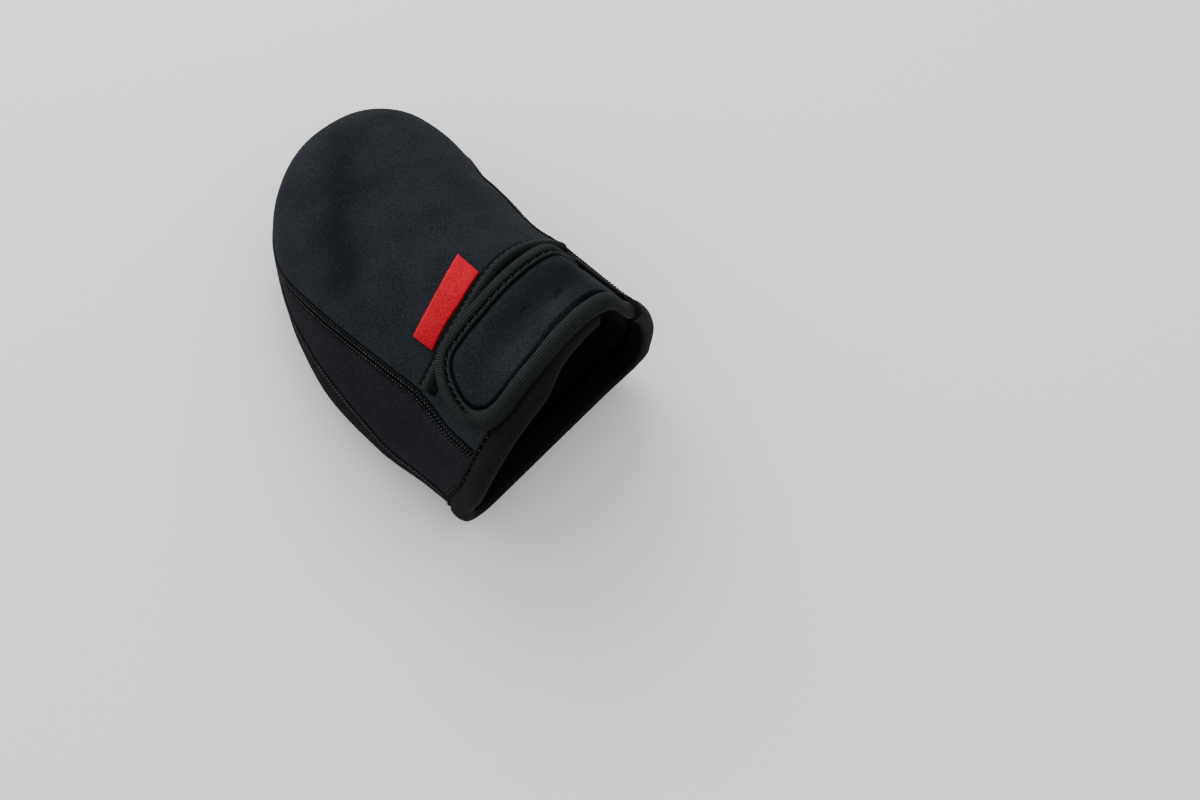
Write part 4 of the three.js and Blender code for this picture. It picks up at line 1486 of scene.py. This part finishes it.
@dataclass
class Binding:
    """A tape folded over a cloth edge and sewn down near its inner edge."""

    name: str
    node: str
    path: WallPath
    rows: tuple[TapeRow, ...]
    thickness: float
    under: float
    over: float
    stitch_reach: float
    plain_rows: tuple[TapeRow, ...] | None = None
    plain_until: float = 0.0
    rib_pitch: float = 0.86
    rib_height: float = 0.2
    # How strong the painted highlight on the rib tops and the painted shade in their grooves are.
    rib_contrast: float = 1.6
    stitch_pitch: float = 3.4
    pull: float = 0.25
    finish: ClothFinish = TAPE_CLOTH
    lift: Callable[[Array], Array] | None = None
    partners: tuple[Array, Array] | None = None

    def build(self) -> list[bpy.types.Object]:
        """Builds the tape and its stitches."""
        tape = self.tape()
        tape.data.materials.append(self.finish.material())
        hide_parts(self.node)
        return [tape, self.stitches()]

    def place(
        self, path: WallPath, partners: tuple[Array, Array] | None, reach: Array
    ) -> tuple[Array, Array]:
        """Places at reaches inwards from the edge.

        Args:
            path: The edge.
            partners: Backs and turns of the points that the edge's points face, where it has them.
            reach: The distances, one row a point of the path.

        Returns:
            Backs and turns, one row a point of the path.
        """
        if partners is None:
            return path.across(reach)
        wall = path.wall
        span = np.linalg.norm(wall.point(path.back, path.turn) - wall.point(*partners), axis=1)
        share = reach / span[:, None]
        back = path.back[:, None] + (partners[0] - path.back)[:, None] * share
        turn = path.turn[:, None] + (partners[1] - path.turn)[:, None] * share
        return back, turn

    def spaced(self, pitch: float) -> tuple[WallPath, tuple[Array, Array] | None, Array]:
        """The tape's edge with even steps, the partners of its points and their distances along it."""
        steps = np.linalg.norm(np.diff(self.path.points(), axis=0), axis=1)
        run = np.concatenate([[0], np.cumsum(steps)])
        at = np.linspace(0, run[-1], max(int(round(run[-1] / pitch)), 2) + 1)
        back, turn = np.interp(at, run, self.path.back), np.interp(at, run, self.path.turn)
        partners = None
        if self.partners is not None:
            partners = tuple(np.interp(at, run, line) for line in self.partners)
        return WallPath(self.path.wall, back, turn), partners, at

    def face(self, at: Array) -> Array:
        """The rows of the tape's outer face at distances along it; its last axis holds a row's columns."""
        rows = np.array(self.rows, float)
        if self.plain_rows is None:
            return np.broadcast_to(rows, (len(at), *rows.shape))
        sewn = smoothstep(at / at[-1], self.plain_until - 0.02, self.plain_until + 0.03)[:, None, None]
        return np.array(self.plain_rows, float) * (1 - sewn) + rows * sewn

    def section(self, face: Array) -> tuple[Array, Array, Array, Array, Array]:
        """Closes the outer face round the fold and back along the cloth.

        Args:
            face: The rows of the outer face, for each point of the path.

        Returns:
            Reach, height, ribs, pull and shade, each with a row for each point of the path.
        """
        count = len(face)
        gap = self.path.wall.gap
        fold = face[:, :1, 0]
        top = self.over + face[:, -1:, 1]
        bottom = self.under - gap - self.thickness
        angle = np.radians(np.linspace(72, -90, 9))
        nose_reach = -(gap + self.thickness) * np.cos(angle) + 0 * top
        nose_height = (top + bottom) / 2 + (top - bottom) / 2 * np.sin(angle)
        shares = np.linspace(0.3, 1, 4)
        inner = [(1.0, self.under - 0.05), (0.1, self.under - 0.1), (0.0, (self.under + self.over) / 2)]
        inner += [(0.1, self.over + 0.01)]
        reach = np.hstack([face[..., 0], nose_reach, fold * shares, fold * [share for share, _ in inner]])
        flat = [bottom] * len(shares) + [height for _, height in inner]
        height = np.hstack([self.over + face[..., 1], nose_height, np.tile(flat, (count, 1))])
        rest = np.zeros((count, reach.shape[1] - face.shape[1] - 5))
        ribs = np.hstack([face[..., 2], np.repeat(face[:, -1:, 2], 5, axis=1), rest])
        pull = np.hstack([face[..., 3], np.zeros((count, reach.shape[1] - face.shape[1]))])
        # The hidden rows under the fold get a painted shade of 0.3.
        shade = np.hstack([face[..., 4], np.repeat(face[:, -1:, 4], 5, axis=1), rest + 0.3])
        return reach, height, ribs, pull, shade

    def tape(self) -> bpy.types.Object:
        """The folded tape, with its ribs as fine steps across it, and painted highlights and shade on the
        ribs.
        """
        ribbed = max(row.ribs for row in self.rows) > 0
        steps = 4 if ribbed else 1
        path, partners, at = self.spaced(self.rib_pitch / steps if ribbed else 0.8)
        reach, height, ribs, pull, shade = self.section(self.face(at))
        out_reach = np.roll(height, -1, 1) - np.roll(height, 1, 1)
        out_height = np.roll(reach, 1, 1) - np.roll(reach, -1, 1)
        size = np.maximum(np.hypot(out_reach, out_height), 1e-9)
        wave = (0.5 - 0.5 * np.cos(np.arange(len(at)) * 2 * math.pi / steps))[:, None] * self.rib_height
        drawn = np.sin(at * 2 * math.pi / self.stitch_pitch)[:, None] * self.pull
        reach = reach + out_reach / size * ribs * wave + pull * drawn
        height = height + out_height / size * ribs * wave
        back, turn = self.place(path, partners, reach)
        lift = self.lift(turn) if self.lift else 0
        # Painted highlight on each rib's top and painted shade in the grooves between ribs.
        shade = shade + ribs * (0.5 - wave / self.rib_height) * self.rib_contrast
        return skin(self.name, path.wall.raised(back, turn, height + lift), shade=shade)

    def stitches(self) -> bpy.types.Object:
        """The stitches in the groove between roll and ridge."""
        path, partners, at = self.spaced(self.stitch_pitch)
        sewn = at / at[-1] > self.plain_until
        back, turn = self.place(path, partners, np.full((len(at), 1), self.stitch_reach))
        line = WallPath(path.wall, back[sewn, 0], turn[sewn, 0])
        lift = self.lift(line.turn) if self.lift else 0
        points = path.wall.raised(line.back, line.turn, self.over + 0.3 + lift)
        normals = path.wall.frame(line.back, line.turn).normal
        maker = Stitches(self.name + "_stitches", THREAD, length=0.9, width=0.4, height=0.35, unevenness=0.3)
        beads = maker.build(points, normals, unit(np.gradient(points, axis=0)))
        return beads


@dataclass
class Strap:
    """The instep strap: a padded-looking neoprene panel with a rounded end, bound all round."""

    shell: Shell
    width: float = 34.6
    thickness: float = 2.6
    pinch: float = 1.2
    tip_length: float = 16.5
    tip_fullness: float = 1.95
    tip_skew: float = 4.0
    tip_turn: float = 118.0
    fold: float = 5.6
    tape: float = 0.7
    collar_tape: float = 1.0
    climb_margin: float = 3.0
    sewn_from: float = 0.47
    root_ends: tuple[float, float] = (130.5, 155.0)
    root_depth: float = 2.3
    # Painted shadow along the panel's edge beside its tape: how dark, and how far past the fold it reaches.
    edge_shade: float = 1.0
    edge_reach: float = 0.8

    @property
    def under(self) -> float:
        """Height of the panel's underside over the tab."""
        gap = self.shell.wall.gap
        return 3 * gap + self.collar_tape + self.tape

    def lift(self, turn: Array) -> Array:
        """How much lower the strap lies on the inner side, where it carries on the quarter's wall."""
        low = self.shell.quarter_turn + self.climb_margin
        high = self.shell.tab_end_turn - self.climb_margin
        return (smoothstep(turn, low, high) - 1) * (self.under + self.shell.wall.thickness)

    def outline(self) -> tuple[WallPath, tuple[Array, Array]]:
        """The strap's edge from its root along the rear, round the tip and back, with its partners."""
        wall = self.shell.wall
        centre_line = curve_through(STRAP_LINE, "turn", "centre")
        share = curve_through(STRAP_LINE, "turn", "width")
        root = self.shell.quarter_turn + self.shell.edge_past
        turns = np.linspace(root, self.tip_turn, 160)
        centre = centre_line(turns) * wall.spine_length
        half = share(turns) * self.width / 2
        tip_centre, tip_half = float(centre[-1]), float(half[-1])
        frame = wall.frame(np.array([tip_centre]), np.array([self.tip_turn]))
        per_turn = float(np.linalg.norm(frame.around))
        angle = np.radians(np.linspace(90, -90, 160))[1:-1]
        power = 2 / self.tip_fullness
        out = self.tip_length * np.abs(np.cos(angle)) ** power
        aside = tip_half * np.sign(np.sin(angle)) * np.abs(np.sin(angle)) ** power
        tip_back = tip_centre + aside + self.tip_skew * (out / self.tip_length) ** 2
        tip_turn = self.tip_turn + out / per_turn
        back = np.concatenate([centre + half, tip_back, (centre - half)[::-1]])
        turn = np.concatenate([turns, tip_turn, turns[::-1]])
        middle_back = np.concatenate([centre, np.full(len(out), tip_centre), centre[::-1]])
        middle_turn = np.concatenate([turns, np.full(len(out), self.tip_turn), turns[::-1]])
        return WallPath(wall, back, turn), (middle_back, middle_turn)

    def swell(self, inside: Array) -> Array:
        """How far the panel's face stands over its pinched edge, by distance inside that edge."""
        full = (self.thickness - self.pinch) / 2
        return full * smoothstep(inside, self.fold * 0.75, self.fold * 1.9)

    def build(self) -> list[bpy.types.Object]:
        """Builds the panel and its binding."""
        path, partners = self.outline()
        binding = Binding(
            "strap_tape",
            "strap_binding",
            path,
            STRAP_FRONT_TAPE,
            thickness=self.tape,
            under=self.under,
            over=self.under + self.pinch,
            stitch_reach=3.5,
            plain_rows=STRAP_REAR_TAPE,
            plain_until=self.sewn_from,
            lift=self.lift,
            partners=partners,
        )
        even, even_partners, _ = binding.spaced(1.2)
        wall = path.wall
        shares = np.linspace(0, 1, 44)
        back = even.back[:, None] + (even_partners[0] - even.back)[:, None] * shares
        turn = even.turn[:, None] + (even_partners[1] - even.turn)[:, None] * shares
        span = np.linalg.norm(wall.point(even.back, even.turn) - wall.point(*even_partners), axis=1)
        inside = span[:, None] * shares
        full = self.swell(inside)
        sunk = creased(STRAP_CREASES, back, turn, "depth") * full / full.max()
        low = self.under + self.lift(turn) - full
        high = self.under + self.pinch + self.lift(turn) + full - sunk
        under, over = (wall.raised(back, turn, height).swapaxes(0, 1) for height in (low, high))
        # Painted shadow along the panel's edge beside its tape, plus the painted shade and highlights of the
        # strap's creases.
        shaded = self.fold + self.edge_reach
        edge = self.edge_shade * (1 - smoothstep(inside, shaded - 0.2, shaded + 0.4))
        tone = (creased(STRAP_CREASES, back, turn, "shade") + edge).swapaxes(0, 1)
        loops, shade = np.concatenate([under[::-1], over]), np.concatenate([tone[::-1], tone])
        panel = skin("strap_panel", loops, shade=shade, capped=False)
        panel.data.materials.append(NEOPRENE.material())
        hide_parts("strap")
        return [panel, *binding.build(), *self.root_seam()]

    def root_seam(self) -> list[bpy.types.Object]:
        """The flat seam that joins the strap to the inner quarter."""
        wall = self.shell.wall
        back = np.linspace(*self.root_ends, 60)
        path = WallPath(wall, back, np.full(60, self.shell.quarter_turn + self.shell.edge_past))
        strip = strip_along("strap_seam", path, ROOT_STRIP, depth=self.root_depth)
        strip.data.materials.append(SEAM_CLOTH.material())
        beads = seam_beads("strap_seam_beads", path)
        return [strip, beads]


@dataclass
class Label:
    """The bare red ribbon label, tucked under the throat binding."""

    shell: Shell
    thickness: float = 0.6
    depths: tuple[float, float] = (12.3, 9.0)
    turns: tuple[float, float] = (95.0, 124.0)
    hollow: float = 1.4
    # Painted shade towards the outer side and along the rear edge under the throat tape, and how much lighter
    # the front edge is.
    outer_shade: float = 0.22
    selvage: float = 0.3

    def build(self) -> list[bpy.types.Object]:
        """Builds the label and its finish."""
        wall = self.shell.wall
        turns = np.linspace(*self.turns, 60)
        rear = wall.throat(turns) * wall.spine_length - wall.gap
        along = np.linspace(0, 1, 60)
        front = rear[0] - self.depths[0] + (rear[-1] - self.depths[1] - rear[0] + self.depths[0]) * along
        front = front + self.hollow * np.sin(math.pi * along)
        shares = np.linspace(0, 1, 24)
        back = rear[:, None] + (front - rear)[:, None] * shares
        turn = np.broadcast_to(turns[:, None], back.shape)
        low = wall.raised(back, turn, 0.05)
        high = wall.raised(back, turn, wall.gap + self.thickness)
        # Painted shade, darker towards the outer side and at the rear edge under the throat tape; lighter
        # along the front edge.
        tone = self.outer_shade * along[:, None] - self.selvage * smoothstep(shares, 0.9, 0.97)[None, :]
        tone = tone + self.outer_shade * (1 - smoothstep(shares, 0.0, 0.14))[None, :]
        loops = np.concatenate([low, high[:, ::-1]], axis=1)
        label = skin("red_label", loops, shade=np.concatenate([tone, tone[:, ::-1]], axis=1))
        label.data.materials.append(LABEL_CLOTH.material())
        soften(label, 50)
        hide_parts("label")
        return [label]


@dataclass
class Bindings:
    """The throat's and the collar's bindings."""

    shell: Shell
    throat_tape: float = 0.8
    collar_tape: float = 1.0

    def throat(self) -> Binding:
        """The ribbed tape on the vamp's rear edge."""
        wall = self.shell.wall
        inner, outer = self.shell.throat_turns()
        turns = np.linspace(inner + wall.gap, outer - wall.gap, 240)
        path = WallPath(wall, self.shell.vamp_edge(turns), turns)
        return Binding(
            "throat_tape",
            "throat_binding",
            path,
            THROAT_TAPE,
            thickness=self.throat_tape,
            under=-wall.thickness,
            over=0.0,
            stitch_reach=3.05,
            stitch_pitch=2.6,
            pull=0.35,
        )

    def collar(self) -> Binding:
        """The thick smooth tape round the rear edge."""
        wall = self.shell.wall
        end = 360 + self.shell.quarter_turn + 0.5 * self.shell.edge_past
        turns = np.linspace(self.shell.tab_end_turn, end, 700)
        path = WallPath(wall, wall.collar_edge(turns), turns)
        return Binding(
            "collar_tape",
            "collar_binding",
            path,
            COLLAR_TAPE,
            thickness=self.collar_tape,
            under=-wall.thickness,
            over=0.0,
            stitch_reach=7.0,
            finish=COLLAR_CLOTH,
        )

    def build(self) -> list[bpy.types.Object]:
        """Builds both bindings."""
        return [*self.throat().build(), *self.collar().build()]


@dataclass
class Studio:
    """Pale floor, soft lights and the camera."""

    azimuth: float = -37.51
    elevation: float = 62.26
    distance: float = 0.51288
    target: tuple[float, float, float] = (0.01863, -0.07737, 0.04)
    lens: float = 44.19
    floor_size: float = 3.0

    def build(self) -> None:
        """Sets up the whole studio."""
        self.floor()
        self.world()
        self.light("key", (0.24, 0.48, 0.62), 0.6, 3.4)
        self.light("front", (-0.24, 0.72, 0.28), 0.5, 1.0)
        self.camera()

    def floor(self) -> None:
        """A plain pale floor under the sole."""
        half = self.floor_size / 2
        mesh = bpy.data.meshes.new("floor")
        corners = [(-half, -half, 0), (half, -half, 0), (half, half, 0), (-half, half, 0)]
        mesh.from_pydata(corners, [], [(0, 1, 2, 3)])
        floor = bpy.data.objects.new("floor", mesh)
        bpy.context.collection.objects.link(floor)
        material = bpy.data.materials.new("pale_floor")
        material.use_nodes = True
        shader = material.node_tree.nodes["Principled BSDF"]
        shader.inputs["Base Color"].default_value = (0.9, 0.9, 0.9, 1)
        shader.inputs["Roughness"].default_value = 0.9
        mesh.materials.append(material)

    def world(self) -> None:
        """Even white light from all round."""
        world = bpy.data.worlds.new("studio")
        world.use_nodes = True
        ground = world.node_tree.nodes["Background"]
        ground.inputs["Color"].default_value = (1, 1, 1, 1)
        ground.inputs["Strength"].default_value = 1.2
        bpy.context.scene.world = world

    def light(self, name: str, place: tuple[float, float, float], size: float, power: float) -> None:
        """A square soft light that points at the object."""
        data = bpy.data.lights.new(name, "AREA")
        data.size = size
        data.energy = power
        lamp = bpy.data.objects.new(name, data)
        lamp.location = place
        aim = Vector((0, 0, 0.03)) - lamp.location
        lamp.rotation_euler = aim.to_track_quat("-Z", "Y").to_euler()
        bpy.context.collection.objects.link(lamp)

    def camera(self) -> None:
        """The camera at the photograph's angle."""
        azimuth, elevation = math.radians(self.azimuth), math.radians(self.elevation)
        away = Vector(
            (
                math.sin(azimuth) * math.cos(elevation),
                -math.cos(azimuth) * math.cos(elevation),
                math.sin(elevation),
            )
        )
        data = bpy.data.cameras.new("camera")
        data.lens = self.lens
        data.sensor_width = 36.0
        data.clip_start = 0.01
        camera = bpy.data.objects.new("camera", data)
        camera.location = Vector(self.target) + away * self.distance
        camera.rotation_euler = (-away).to_track_quat("-Z", "Y").to_euler()
        bpy.context.collection.objects.link(camera)
        bpy.context.scene.camera = camera


def main() -> None:
    """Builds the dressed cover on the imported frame."""
    logging.basicConfig(level=logging.INFO, format="%(message)s")
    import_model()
    Studio().build()
    wall = Wall()
    shell = Shell(wall)
    for part in (Upper(shell), Sole(shell), Strap(shell), Bindings(shell), Label(shell)):
        for piece in part.build():
            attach(piece, BODY)
            LOG.info("%s: %d faces", piece.name, len(piece.data.polygons))


if __name__ == "__main__":
    main()
